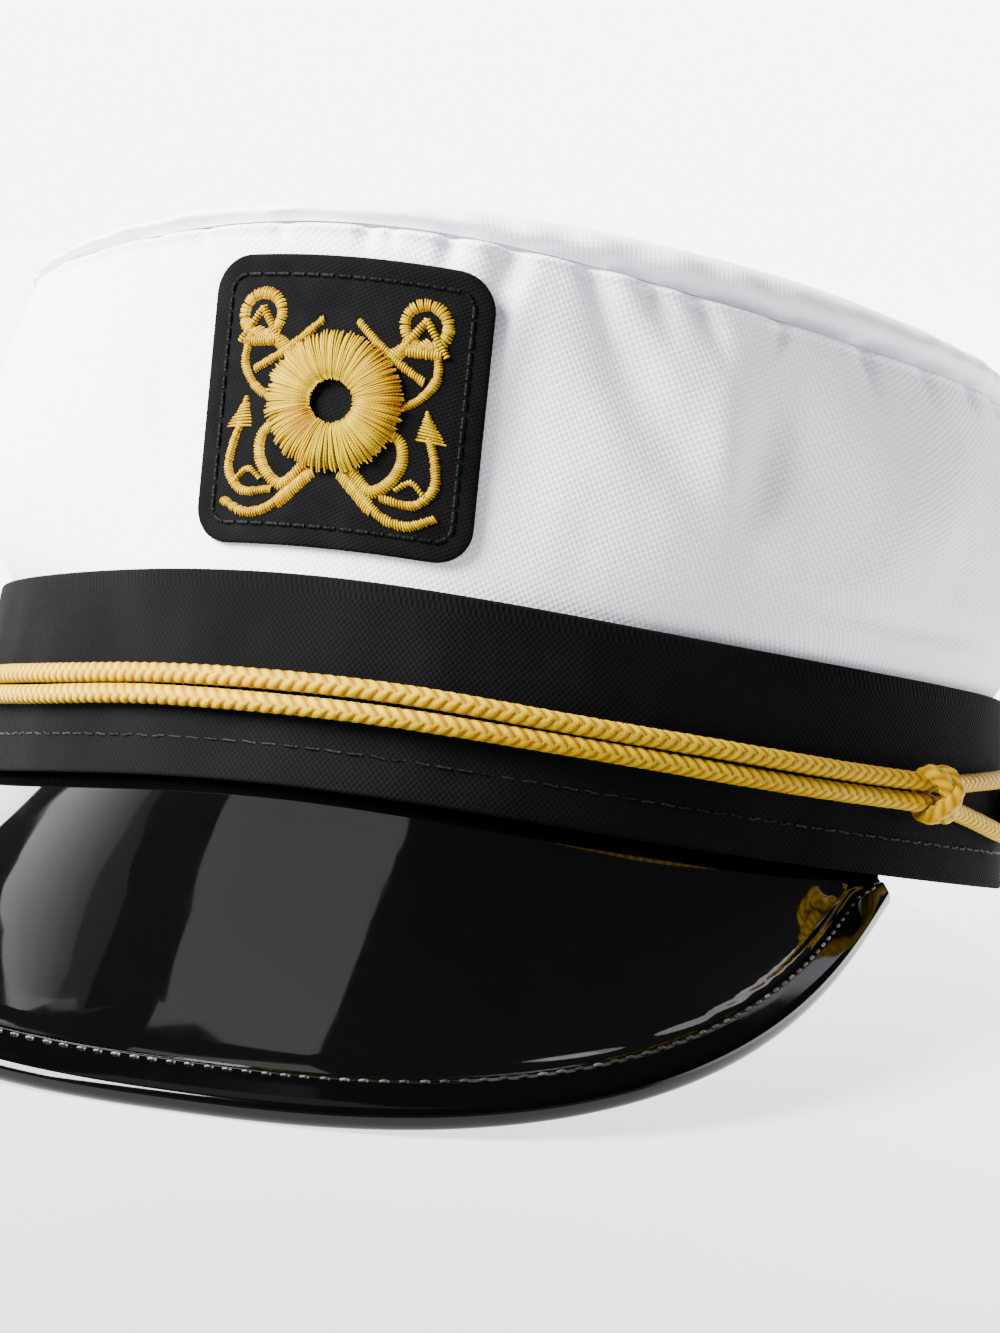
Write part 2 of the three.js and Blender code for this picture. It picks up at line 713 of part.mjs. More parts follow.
addPiece('crown_side', crownSideGeometry(), finish('#e9e7ec', 0.85));
addPiece('crown_top', crownTopGeometry(), finish('#efedf1', 0.85));
addPiece('band', bandGeometry(), finish('#1b1b1c', 0.9));
addPiece('visor', visorGeometry(), finish('#0b0b0c', 0.12));
addPiece('visor_binding', visorBindingGeometry(), finish('#0e0e10', 0.18));
addPiece('chin_cord', chinCordGeometry(), finish('#e7b92a', 0.6));
addPiece('patch', patchGeometry(), finish('#202021', 0.92));
addPiece('emblem_anchors', emblemAnchorsGeometry(), finish('#e3bb3c', 0.5));
addPiece('emblem_ring', emblemRingGeometry(), finish('#e8b72f', 0.5));

const brass = { color: '#c9a24a', roughness: 0.3, metalness: 1 };
for (const [name, side] of [['side_button_left', 1], ['side_button_right', -1]]) {
  const button = addPiece(name, buttonGeometry(), new THREE.MeshStandardMaterial(brass));
  const angle = side * degrees(buttonAngle);
  const seat = bandPoint(angle, cordHeight, clearance);
  const out = bandPoint(angle, cordHeight, clearance + 1).sub(seat);
  button.position.copy(seat);
  button.quaternion.setFromUnitVectors(new THREE.Vector3(0, 1, 0), out);
}

// How far the hat leans back when it stands on the back of its rim and on its visor's edge: the
// slope of the lowest line from the rim's back to any point of the binding
function restingLean() {
  const back = bandPoint(halfTurn, 0, 0);
  const position = hat.getObjectByName('visor_binding').geometry.attributes.position;
  let lean = -halfTurn;
  for (let i = 0; i < position.count; i++) {
    lean = Math.max(lean, Math.atan2(back.z - position.getZ(i), back.y - position.getY(i)));
  }
  return lean;
}

// Resting hat, its origin under the middle of its box on the surface that it stands on
const captainHat = new THREE.Group();
captainHat.name = 'captain_hat';
captainHat.add(hat);
hat.rotation.x = -restingLean();
captainHat.updateMatrixWorld(true);
const box = new THREE.Box3().setFromObject(captainHat, true);
hat.position.set(-(box.min.x + box.max.x) / 2, -(box.min.y + box.max.y) / 2, -box.min.z);

export default captainHat;
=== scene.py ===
# Captain hat: its cloth, patent visor, plaited cord and embroidery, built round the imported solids.
# Shapes are worked out in millimetres with the rim level, then leant back onto the floor.
import math

import bpy
import numpy as np
from mathutils import Matrix, Vector
from mathutils.bvhtree import BVHTree
from mathutils.interpolate import poly_3d_calc


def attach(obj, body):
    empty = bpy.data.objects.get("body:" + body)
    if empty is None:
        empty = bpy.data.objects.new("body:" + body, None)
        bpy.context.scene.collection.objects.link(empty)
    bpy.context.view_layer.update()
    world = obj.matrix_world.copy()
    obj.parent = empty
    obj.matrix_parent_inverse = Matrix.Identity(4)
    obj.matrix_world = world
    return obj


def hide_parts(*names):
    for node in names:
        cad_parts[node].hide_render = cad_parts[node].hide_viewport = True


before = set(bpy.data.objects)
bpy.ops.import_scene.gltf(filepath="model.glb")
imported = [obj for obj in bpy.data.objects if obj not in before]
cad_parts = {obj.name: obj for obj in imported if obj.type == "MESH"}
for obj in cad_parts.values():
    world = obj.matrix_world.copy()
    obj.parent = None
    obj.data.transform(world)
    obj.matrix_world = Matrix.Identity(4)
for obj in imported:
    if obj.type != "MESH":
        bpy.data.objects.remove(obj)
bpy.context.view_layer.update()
print("frame loaded:", len(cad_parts), "nodes")

# Sizes that several pieces share, in millimetres and degrees, as the solids have them
hat = {
    "clearance": 0.3,
    "rimHalfWidth": 93, "rimHalfLength": 98.4, "rimNarrowing": 0.19,
    "bandHeight": 33.6, "bandTaper": 2.8, "bandThickness": 2.2,
    "frontArch": 3.9, "frontArchSpread": 0.78,
    "seamHalfWidth": 87.2, "seamHalfLength": 95.2, "seamNarrowing": 0.07,
    "seamHeight": 85.4, "seamArch": 8.4, "clothThickness": 1.5,
    "lean": 11.285656, "back": 14.678893, "up": 19.256943,  # how the hat stands on the floor
}
lean = math.radians(hat["lean"])
gap = hat["clearance"]

# Where the photograph was taken from, in degrees and millimetres from the middle of the rim
camera = {
    "turn": 16.447, "rise": 8.875, "roll": 3.326, "distance": 744.08, "lens": 112.9,
    "aimUp": 47.75, "aimAcross": 5.75, "aimAlongUp": -17.863, "sensor": 36, "wide": 1000, "tall": 1333,
}


def addObject(name, data):
    # New object in the scene, at the origin
    made = bpy.data.objects.new(name, data)
    bpy.context.scene.collection.objects.link(made)
    return made


def wayTo(turn, rise):
    # Unit vector to a turn from the front to the right and a rise over the floor, in degrees
    turn, rise = math.radians(turn), math.radians(rise)
    return Vector((math.sin(turn) * math.cos(rise), -math.cos(turn) * math.cos(rise), math.sin(rise)))


def addCamera():
    # Looks back along a turned and raised line at a point near the badge, then rolls a little
    turn, roll = math.radians(camera["turn"]), math.radians(camera["roll"])
    back = wayTo(camera["turn"], camera["rise"])
    across = Vector((math.cos(turn), math.sin(turn), 0))
    above = back.cross(across)
    aim = Vector((0, hat["back"], hat["up"] + camera["aimUp"]))
    aim += camera["aimAcross"] * across + camera["aimAlongUp"] * above
    right = math.cos(roll) * across + math.sin(roll) * above
    top = math.cos(roll) * above - math.sin(roll) * across
    data = bpy.data.cameras.new("photoCamera")
    data.lens, data.sensor_width = camera["lens"], camera["sensor"]
    data.clip_start, data.clip_end = 0.01, 50
    seer = addObject("photoCamera", data)
    turned = Matrix((right, top, back)).transposed().to_4x4()
    seer.matrix_world = Matrix.Translation((aim + camera["distance"] * back) / 1000) @ turned
    bpy.context.scene.camera = seer


addCamera()
print("camera set")


def lift(angle):
    # Share of the front's lift: a bell curve of the angle from the front
    return np.exp(-((angle / hat["frontArchSpread"]) ** 2))


def bell(middle, angle, wide):
    # Bell curve of the turn in degrees from a direction, round the whole hat
    past = (np.degrees(angle) - middle + 180) % 360 - 180
    return np.exp(-((past / wide) ** 2))


def smooth(low, high, value):
    # Eases from 0 to 1 between two values: t t (3 - 2 t)
    t = np.clip((value - low) / (high - low), 0, 1)
    return t * t * (3 - 2 * t)


def readSmooth(at, places, values):
    # Cubic curve through a table's rows, whose slope at each row is that of its neighbours
    places, values = np.array(places, float), np.array(values, float)
    slopes = np.gradient(values, places)
    i = np.clip(np.searchsorted(places, at) - 1, 0, len(places) - 2)
    step = places[i + 1] - places[i]
    t = np.clip((at - places[i]) / step, 0, 1)
    return ((1 + 2 * t) * (1 - t) ** 2 * values[i] + t * (1 - t) ** 2 * step * slopes[i]
            + t * t * (3 - 2 * t) * values[i + 1] - t * t * (1 - t) * step * slopes[i + 1])


def ovalPoint(angle, halfWidth, halfLength, narrowing, out):
    # Oval x = w sin(a) (1 - n cos(a)), y = -l cos(a), moved outwards along its normal
    x = halfWidth * np.sin(angle) * (1 - narrowing * np.cos(angle))
    y = -halfLength * np.cos(angle)
    alongX = halfWidth * (np.cos(angle) - narrowing * np.cos(2 * angle))
    alongY = halfLength * np.sin(angle)
    length = np.hypot(alongX, alongY)
    return x + out * alongY / length, y - out * alongX / length


def bandPoint(angle, height, out):
    # Point on the band at a height above the rim and a distance outwards
    inset = hat["bandTaper"] * height / hat["bandHeight"]
    halfWidth, halfLength = hat["rimHalfWidth"] - inset, hat["rimHalfLength"] - inset
    x, y = ovalPoint(angle, halfWidth, halfLength, hat["rimNarrowing"], out)
    return np.stack(np.broadcast_arrays(x, y, height + hat["frontArch"] * lift(angle)), -1)


def seamOval(angle, reach, out):
    # The oval that the crown's wall ends at, or a smaller one by a share
    halfWidth, halfLength = hat["seamHalfWidth"] * reach, hat["seamHalfLength"] * reach
    return ovalPoint(angle, halfWidth, halfLength, hat["seamNarrowing"], out)


def ripple(angle, up, size, seed, around, upright, count=9):
    # Sum of a few waves, each a whole number of times round the hat, at seeded slopes and phases
    draw = np.random.default_rng(seed)
    total = 0
    for _ in range(count):
        turns, slope = draw.integers(*around), draw.uniform(*upright)
        total = total + np.sin(turns * angle + slope * up + draw.uniform(0, 2 * np.pi))
    return size * total / math.sqrt(count)


def fullTurn(count):
    # Angles at even steps of one turn
    return 2 * np.pi * np.arange(count) / count


def anglesRound(count):
    # The same, from the back of the hat round to its back
    return -np.pi + fullTurn(count)


def unit(vectors):
    # Each vector over its own length
    return vectors / np.linalg.norm(vectors, axis=-1, keepdims=True)


def distances(line):
    # Distance along a line of points at each of them
    return np.append(0, np.cumsum(np.linalg.norm(np.diff(line, axis=0), axis=1)))


def quadCorners(*counts):
    # For every quad of a grid, or of many alike, the row and column numbers of its corners
    *first, i, j = (index.ravel() for index in np.meshgrid(*map(np.arange, counts), indexing="ij"))
    return *first, np.stack([i, i + 1, i + 1, i], -1), np.stack([j, j, j + 1, j + 1], -1)


def gridPart(grid, wrapRows, wrapColumns, u, v, shade=None):
    # Quads of a grid of points. A wrapped side joins its last row to its first, and u and v then
    # have one place more, so that the pattern doesn't turn back there.
    rows, columns = grid.shape[:2]
    row, column = quadCorners(rows - (not wrapRows), columns - (not wrapColumns))
    faces = (row % rows) * columns + column % columns
    corners = np.stack([np.asarray(u)[row], np.asarray(v)[column]], -1)
    return {"points": grid.reshape(-1, 3), "faces": [(faces, corners)],
            "shade": np.ones(rows * columns) if shade is None else shade.ravel()}


def capEnds(part, columns, turned=False):
    # Closes a grid of rings: its first and last ring each get a fan round the point in their middle,
    # and with turned both fans face the other way
    points, faces, shade = part["points"], list(part["faces"]), part["shade"]
    first = np.arange(columns)[::-1] if turned else np.arange(columns)
    for edge in (first, first[::-1] + len(points) - columns):
        middle = points[edge].mean(0, keepdims=True)
        fan = np.stack([np.full(len(edge), len(points)), edge, np.roll(edge, -1)], -1)
        points = np.concatenate([points, middle])
        shade = np.append(shade, shade[edge].mean())
        faces.append((fan, np.zeros((len(edge), 3, 2))))
    return {"points": points, "faces": faces, "shade": shade}


def joinParts(parts):
    # One part from several, with their point numbers moved on
    faces, start = [], 0
    for part in parts:
        faces += [(index + start, corners) for index, corners in part["faces"]]
        start += len(part["points"])
    return {"points": np.concatenate([part["points"] for part in parts]), "faces": faces,
            "shade": np.concatenate([part["shade"] for part in parts])}


def outwards(part):
    # Turns every face round if the closed part's signed volume is below nothing
    points, volume = part["points"], 0.0
    for index, _ in part["faces"]:
        for k in range(2, index.shape[1]):
            a, b, c = points[index[:, 0]], points[index[:, k - 1]], points[index[:, k]]
            volume += np.einsum("ij,ij->", a, np.cross(b, c))
    if volume < 0:
        part["faces"] = [(index[:, ::-1], corners[:, ::-1]) for index, corners in part["faces"]]
    return part


def toFloor(points):
    # Leans a level hat's points back, stands them on the floor, and gives metres
    x, y, z = points[:, 0], points[:, 1], points[:, 2]
    stood = np.stack([x, math.cos(lean) * y + math.sin(lean) * z + hat["back"],
                      math.cos(lean) * z - math.sin(lean) * y + hat["up"]], -1)
    return stood / 1000


def putPiece(name, part, finish, replaced=()):
    # Puts a part into a mesh, with its pattern in a UV map and its shade in an attribute
    part = outwards(part)
    mesh = bpy.data.meshes.new(name)
    sizes = np.concatenate([np.full(len(index), index.shape[1]) for index, _ in part["faces"]])
    numbers = np.concatenate([index.ravel() for index, _ in part["faces"]])
    mesh.vertices.add(len(part["points"]))
    mesh.vertices.foreach_set("co", toFloor(part["points"]).astype(np.float32).ravel())
    mesh.loops.add(len(numbers))
    mesh.loops.foreach_set("vertex_index", numbers.astype(np.int32))
    mesh.polygons.add(len(sizes))
    mesh.polygons.foreach_set("loop_start", (np.cumsum(sizes) - sizes).astype(np.int32))
    mesh.polygons.foreach_set("loop_total", sizes.astype(np.int32))
    mesh.polygons.foreach_set("use_smooth", np.ones(len(sizes), bool))
    pattern = np.concatenate([corners.reshape(-1, 2) for _, corners in part["faces"]]) / 1000
    mesh.uv_layers.new(name="pattern").data.foreach_set("uv", pattern.astype(np.float32).ravel())
    shade = mesh.attributes.new("shade", "FLOAT", "POINT")
    shade.data.foreach_set("value", part["shade"].astype(np.float32))
    mesh.update(calc_edges=True)
    mesh.validate()
    mesh.materials.append(finish)
    piece = addObject(name, mesh)
    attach(piece, "root")
    if replaced:
        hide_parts(*replaced)
    print(name, "made,", int((sizes - 2).sum()), "triangles")
    return piece


def tubePart(paths, radius, normal, sides, shade, closed=False):
    # Round tubes along many paths at once: at each point of a path stands a ring square to the
    # way, measured round from the given normal. Open tubes are closed by a point at each end.
    count, steps = paths.shape[:2]
    if closed:
        way = unit(np.roll(paths, -1, 1) - np.roll(paths, 1, 1))
    else:
        way = unit(np.gradient(paths, axis=1))
    across = unit(np.cross(way, normal))
    up = np.cross(across, way)
    turn = fullTurn(sides)
    reach = np.broadcast_to(radius, (count, steps, sides))[..., None]
    ring = up[:, :, None] * np.cos(turn)[:, None] + across[:, :, None] * np.sin(turn)[:, None]
    points = (paths[:, :, None] + reach * ring).reshape(-1, 3)
    spans = steps if closed else steps - 1
    t, row, side = quadCorners(count, spans, sides)
    faces = t[:, None] * steps * sides + (row % steps) * sides + side % sides
    lengths = np.linalg.norm(np.diff(paths, axis=1, append=paths[:, :1]), axis=-1)
    along = np.concatenate([np.zeros((count, 1)), np.cumsum(lengths, 1)], 1)
    corners = np.stack([along[t[:, None], row], side * (2 * np.pi / sides) * np.mean(radius)], -1)
    shade = np.broadcast_to(shade, (count, steps, sides)).ravel()
    part = {"points": points, "faces": [(faces, corners)], "shade": shade}
    if closed:
        return part
    ends = np.stack([paths[:, 0], paths[:, -1]], 1).reshape(-1, 3)
    tips = len(points) + np.arange(2 * count)
    base = (np.arange(count)[:, None] * steps * sides + np.array([0, (steps - 1) * sides])).reshape(-1, 1)
    a, b = base + np.arange(sides), base + (np.arange(sides) + 1) % sides
    atEnd = (np.arange(2 * count) % 2 == 1)[:, None]
    tips = np.repeat(tips[:, None], sides, 1)
    fan = np.stack([tips, np.where(atEnd, a, b), np.where(atEnd, b, a)], -1).reshape(-1, 3)
    part["points"] = np.concatenate([points, ends])
    part["faces"].append((fan, np.zeros((len(fan), 3, 2))))
    part["shade"] = np.concatenate([shade, np.repeat(shade.reshape(count, -1)[:, 0], 2)])
    return part


stitchStep = np.linspace(-0.5, 0.5, 6)  # places along a stitch, from one end to the other


def stitchRise(piece):
    # Height of a stitch over the cloth at each step s, where it dips in at its ends: t cos(pi s) - d
    return piece["stitchTall"] * np.cos(np.pi * stitchStep) - piece["stitchSunk"]


def addNode(tree, kind, inputs=None, **settings):
    # Adds a node, sets it, and links or sets its inputs
    made = tree.nodes.new(kind)
    for key, value in settings.items():
        setattr(made, key, value)
    for key, value in (inputs or {}).items():
        if isinstance(value, bpy.types.NodeSocket):
            tree.links.new(value, made.inputs[key])
        else:
            made.inputs[key].default_value = value
    return made


def newFinish(name, sockets):
    # New node material, with values set on its shader's own sockets
    made = bpy.data.materials.new(name)
    made.use_nodes = True
    shader = made.node_tree.nodes["Principled BSDF"]
    for key, value in sockets.items():
        shader.inputs[key].default_value = value
    return made, made.node_tree, shader


def blendColors(tree, share, dark, light):
    # dark + share (light - dark), where each is a colour or a socket
    mix = addNode(tree, "ShaderNodeMix", data_type="RGBA")
    tree.links.new(share, mix.inputs["Factor"])
    for key, color in ((6, dark), (7, light)):
        if isinstance(color, bpy.types.NodeSocket):
            tree.links.new(color, mix.inputs[key])
        else:
            mix.inputs[key].default_value = (*color, 1)
    return mix.outputs[2]


def rangeOf(tree, value, fromLow, fromHigh, toLow, toHigh):
    # Value carried over from one range to another in a straight line, and held at its ends
    inputs = {0: value, 1: fromLow, 2: fromHigh, 3: toLow, 4: toHigh}
    return addNode(tree, "ShaderNodeMapRange", inputs).outputs[0]


def noiseOf(tree, place, scale, detail=2, roughness=0.5):
    # Noise texture fixed to the piece, with a scale in lumps a metre
    inputs = {"Vector": place.outputs["Object"], "Scale": scale, "Detail": detail, "Roughness": roughness}
    return addNode(tree, "ShaderNodeTexNoise", inputs).outputs["Fac"]


def waveOf(tree, vector, period, distortion, detail, **settings):
    # Wave texture with a period in millimetres, as it repeats every 2 pi / 20 metres at scale 1
    inputs = {"Vector": vector, "Scale": 2 * math.pi / 20 / (period / 1000), "Distortion": distortion,
              "Detail": detail}
    return addNode(tree, "ShaderNodeTexWave", inputs, **settings).outputs["Fac"]


def addUp(tree, value, share, more):
    # value * share + more
    inputs = {0: value, 1: share, 2: more}
    return addNode(tree, "ShaderNodeMath", inputs, operation="MULTIPLY_ADD").outputs[0]


def surface(tree, shader, color, roughness, height, strength, distance):
    # Links a colour, a roughness and a bump of the given height to a shader
    bump = addNode(tree, "ShaderNodeBump", {"Height": height, "Strength": strength, "Distance": distance})
    for key, value in (("Base Color", color), ("Roughness", roughness), ("Normal", bump.outputs[0])):
        tree.links.new(value, shader.inputs[key])


def twillFinish(name, look):
    # Twill: slanted ridges of thread, crossed by finer weft, over slow changes of colour, with painted shade
    # darkening the weave's grooves
    made, tree, shader = newFinish(name, {"Sheen Weight": look["sheen"], "Sheen Roughness": 0.5,
                                          "Specular IOR Level": look["gloss"]})
    place = addNode(tree, "ShaderNodeTexCoord")
    slant = {"Vector": place.outputs["UV"], "Rotation": (0, 0, math.radians(look["slant"]))}
    turned = addNode(tree, "ShaderNodeMapping", slant).outputs[0]
    ridges = waveOf(tree, turned, look["ridge"], 0.5, 1)
    weft = waveOf(tree, turned, look["weft"], 0.5, 1, bands_direction="Y")
    height = addUp(tree, weft, look["cross"], ridges)
    fuzz = noiseOf(tree, place, 1800)
    cloud = rangeOf(tree, noiseOf(tree, place, look["cloud"], 3), 0.35, 0.7, 0, 1)
    worn = blendColors(tree, cloud, look["dark"], look["light"])
    # painted shade: where the weave's height is low, the colour is mixed towards the darker groove colour, by
    # the share lines
    grooveShaded = blendColors(tree, rangeOf(tree, height, 0.2, 1.7, look["lines"], 0), worn, look["grooveShade"])
    rough = rangeOf(tree, fuzz, 0.3, 0.7, look["rough"] - 0.06, look["rough"] + 0.06)
    surface(tree, shader, grooveShaded, rough, addUp(tree, fuzz, 0.5, height), look["relief"], 0.0003)
    return made


def patentFinish(name, look):
    # Patent leather: a deep black under a clear gloss, with faint waves and handling marks
    made, tree, shader = newFinish(name, {"IOR": 1.52, "Coat Weight": look["coat"], "Coat Roughness": 0.02,
                                          "Specular IOR Level": look["gloss"]})
    place = addNode(tree, "ShaderNodeTexCoord")
    marks = noiseOf(tree, place, 90, 6, 0.7)
    waves = noiseOf(tree, place, 26, 1)
    color = blendColors(tree, marks, look["dark"], look["light"])
    rough = rangeOf(tree, marks, 0.4, 0.75, look["rough"], look["rough"] + 0.05)
    surface(tree, shader, color, rough, waves, look["waves"], 0.001)
    return made


def threadFinish(name, look):
    # Silky thread: fine fibres along the UV pattern, with painted shade from its shade attribute: lighter on
    # top and darker in the grooves
    made, tree, shader = newFinish(name, {"Sheen Weight": look["sheen"], "Sheen Roughness": 0.35,
                                          "Specular IOR Level": look["gloss"],
                                          "Specular Tint": (*look["glint"], 1)})
    place = addNode(tree, "ShaderNodeTexCoord")
    shade = addNode(tree, "ShaderNodeAttribute", attribute_name="shade").outputs["Fac"]
    fibres = waveOf(tree, place.outputs["UV"], look["fibre"], 1.5, 2)
    cloud = rangeOf(tree, noiseOf(tree, place, look["cloud"]), 0.35, 0.65, 0, 1)
    light = blendColors(tree, cloud, look["middle"], look["light"])
    # painted shade: the shade attribute darkens the colour in grooves and at thread ends; for stitches it
    # only varies their tone at random
    color = blendColors(tree, rangeOf(tree, shade, 0.1, 0.95, 0, 1), look["dark"], light)
    rough = rangeOf(tree, fibres, 0, 1, look["rough"], look["rough"] + 0.12)
    surface(tree, shader, color, rough, fibres, look["relief"], 0.00006)
    return made


def brassFinish(name, look):
    # Polished brass with soft tarnish and fine rub marks
    made, tree, shader = newFinish(name, {"Metallic": 1})
    tarnish = noiseOf(tree, addNode(tree, "ShaderNodeTexCoord"), 260, 5)
    color = blendColors(tree, tarnish, look["dark"], look["light"])
    rough = rangeOf(tree, tarnish, 0.3, 0.7, look["rough"], look["rough"] + 0.15)
    surface(tree, shader, color, rough, tarnish, 0.08, 0.0002)
    return made


def grey(level, blue=None):
    # Grey of a level, with its blue a little higher where one is given
    return (level, level, blue or level)


# in this look and the next ones, the groove colour is a painted shade for the weave's grooves, and lines is
# how far the grooves take it
whiteTwill = {
    "light": (0.86, 0.85, 0.89), "dark": (0.8, 0.79, 0.84), "grooveShade": (0.58, 0.57, 0.65), "lines": 0.85,
    "slant": -33, "ridge": 0.84, "weft": 0.95, "cross": 0.8, "cloud": 24, "rough": 0.85, "sheen": 0.1,
    "gloss": 0.15, "relief": 0.2,
}
topTwill = {**whiteTwill, "relief": 0.1, "lines": 0.35}
blackTwill = {
    "light": grey(0.005, 0.0052), "dark": grey(0.003, 0.0032), "grooveShade": grey(0.0015), "lines": 0.5,
    "slant": -45, "ridge": 0.8, "weft": 0.8, "cross": 0.5, "cloud": 40, "rough": 0.85, "sheen": 0.007,
    "gloss": 0.012, "relief": 0.3,
}
badgeFelt = {
    "light": grey(0.0045, 0.0046), "dark": grey(0.003, 0.0031), "grooveShade": grey(0.0008), "lines": 0.3,
    "slant": 60, "ridge": 0.6, "weft": 0.7, "cross": 0.9, "cloud": 160, "rough": 0.9, "sheen": 0.006,
    "gloss": 0.01, "relief": 0.2,
}
patent = {
    "dark": grey(0.0004), "light": grey(0.0007), "rough": 0.03, "coat": 0.5, "gloss": 0.5, "waves": 0.05,
}
binding = {**patent, "rough": 0.06, "coat": 0.0, "gloss": 0.2, "waves": 0.14}
# the dark colours of the gold cord and gold thread are painted shade for grooves, thread ends and the ring's
# shaded parts
goldCord = {
    "light": (0.43, 0.305, 0.0), "middle": (0.4, 0.25, 0.0), "dark": (0.24, 0.1, 0.0), "rough": 0.4,
    "sheen": 0.0, "gloss": 0.2, "glint": (1, 0.7, 0.1), "relief": 0.6, "fibre": 0.42, "cloud": 30,
}
goldThread = {
    "light": (0.31, 0.22, 0.0), "middle": (0.29, 0.185, 0.0), "dark": (0.19, 0.075, 0.0), "rough": 0.34,
    "sheen": 0.0, "gloss": 0.2, "glint": (1, 0.75, 0.15), "relief": 0.4, "fibre": 0.5, "cloud": 120,
}
greyThread = {
    "light": grey(0.006), "middle": grey(0.004), "dark": grey(0.002), "rough": 0.4,
    "sheen": 0.01, "gloss": 0.03, "glint": (1, 1, 1), "relief": 0.4, "fibre": 0.5, "cloud": 200,
}
blackThread = {**greyThread, "light": grey(0.012), "middle": grey(0.008), "rough": 0.45, "gloss": 0.04}
visorThread = {**greyThread, "light": grey(0.05), "middle": grey(0.02), "dark": grey(0.006), "rough": 0.35,
               "sheen": 0.02, "gloss": 0.3, "cloud": 60}
brass = {"light": (0.83, 0.6, 0.24), "dark": (0.66, 0.42, 0.14), "rough": 0.2}


crown = {
    "tuck": 8, "sideSwell": 6.5, "flatFrontAngle": 20, "fullSwellAngle": 75, "foldDepth": 3,
    "wallHeights": [0, 0.03, 0.1, 0.2, 0.34, 0.5, 0.66, 0.8, 0.91, 1],
    "wallSwells": [0, 0.16, 0.5, 0.8, 0.98, 1, 0.88, 0.62, 0.32, 0],
    # folds: angle, height, wide, tall, lean, depth, as the solids have them
    "folds": [(23, 0.55, 4.5, 0.4, 3, -0.35), (31, 0.8, 5, 0.22, -14, -0.28), (52, 0.62, 8, 0.36, -16, -0.8),
              (68, 0.42, 9, 0.3, 10, 0.7), (84, 0.12, 14, 0.12, 0, 0.75), (62, 0.9, 5, 0.14, 0, -0.3),
              (104, 0.6, 8, 0.34, 12, -0.7), (133, 0.5, 9, 0.4, -10, -0.6), (163, 0.58, 10, 0.36, 8, -0.65),
              (-160, 0.5, 9, 0.4, -8, -0.6), (-128, 0.6, 9, 0.36, 12, -0.7), (-98, 0.5, 8, 0.36, -10, -0.5),
              (-58, 0.4, 14, 0.34, 0, 0.3)],
    # creases seen in the photograph: angle, height, wide, tall, lean, depth in millimetres
    "creases": [(73, 0.165, 15, 0.045, 0, -2.3), (77, 0.075, 15, 0.05, 0, 1.4),
                (36, 0.66, 4.5, 0.42, -29, -1.7), (45, 0.6, 3.2, 0.36, -5, 1.2),
                (51, 0.6, 3.6, 0.34, 4, -1.8), (21.5, 0.72, 2, 0.3, 4, -0.35),
                (31, 0.78, 4, 0.18, -14, -0.8)],
    # puckers under the seam: angle, wide, reach down as a share of the wall, lean, depth in millimetres
    "puckers": [(1.5, 1.3, 0.06, 0, -0.8), (4.2, 1.0, 0.05, 0, -0.5), (11, 1.2, 0.08, 0, -0.9),
                (14.5, 1.4, 0.06, 0, 0.35), (18.3, 1.8, 0.24, 6, -0.9), (26.5, 1.6, 0.16, -22, -0.9),
                (30, 1.8, 0.1, -22, 0.4), (33.5, 1.5, 0.14, -22, -0.6), (39, 1.4, 0.13, -24, -0.8),
                (50, 1.4, 0.1, 6, -0.6), (61, 1.3, 0.12, -14, -0.9), (71, 1.5, 0.1, -8, -0.5),
                (-9, 1.1, 0.05, 0, -0.5), (-20, 1.2, 0.07, 0, -0.5)],
    "loosePuckers": 34, "puckerSeed": 11, "puckerDepth": 2.1,
    # the wall's top edge, just over its ridge, turns in
    "seamTurn": 1.3, "seamTurnShare": 0.009, "seamRidge": 0.4,
    # slow waves of the cloth: size, seed, times round, slopes
    "waves": [(0.24, 3, (4, 17), (-5, 5)), (0.09, 5, (20, 60), (-14, 14))],
    "around": 840, "rowsOutside": 80, "rowsInside": 20, "weaveRadius": 90, "weaveTall": 57,
}


def crownPoint(angle, share, out, worn=0.0):
    # Point on the crown's wall: a straight line from inside the band to the seam, pushed out
    # square to the seam's oval by the swell, the folds and, where it is worn, the finer creases
    foot = bandPoint(angle, hat["bandHeight"] + 0 * share, -hat["bandThickness"] - gap)
    x, y = seamOval(angle, 1, 0)
    head = np.stack(np.broadcast_arrays(x, y, hat["seamHeight"] + hat["seamArch"] * lift(angle)), -1)
    away = np.abs((np.degrees(angle) + 180) % 360 - 180)
    side = smooth(crown["flatFrontAngle"], crown["fullSwellAngle"], away)
    bulge = crown["sideSwell"] * side * readSmooth(share, crown["wallHeights"], crown["wallSwells"])
    fade = np.sin(np.pi * np.clip(share, 0, 1))
    for middle, height, wide, tall, slope, depth in crown["folds"]:
        rise = share - height
        fold = crown["foldDepth"] * depth * fade * np.exp(-((rise / tall) ** 2))
        bulge = bulge + fold * bell(middle + slope * rise, angle, wide)
    if worn:
        bulge = bulge + worn * fineCreases(angle, share, away, fade)
    x, y = seamOval(angle, 1, 1)
    base, normalY = seamOval(angle, 1, 0)
    normal = np.stack(np.broadcast_arrays(x - base, y - normalY, 0 * angle), -1)
    line = foot + share[..., None] * (head - foot)
    return line + (bulge + out)[..., None] * normal


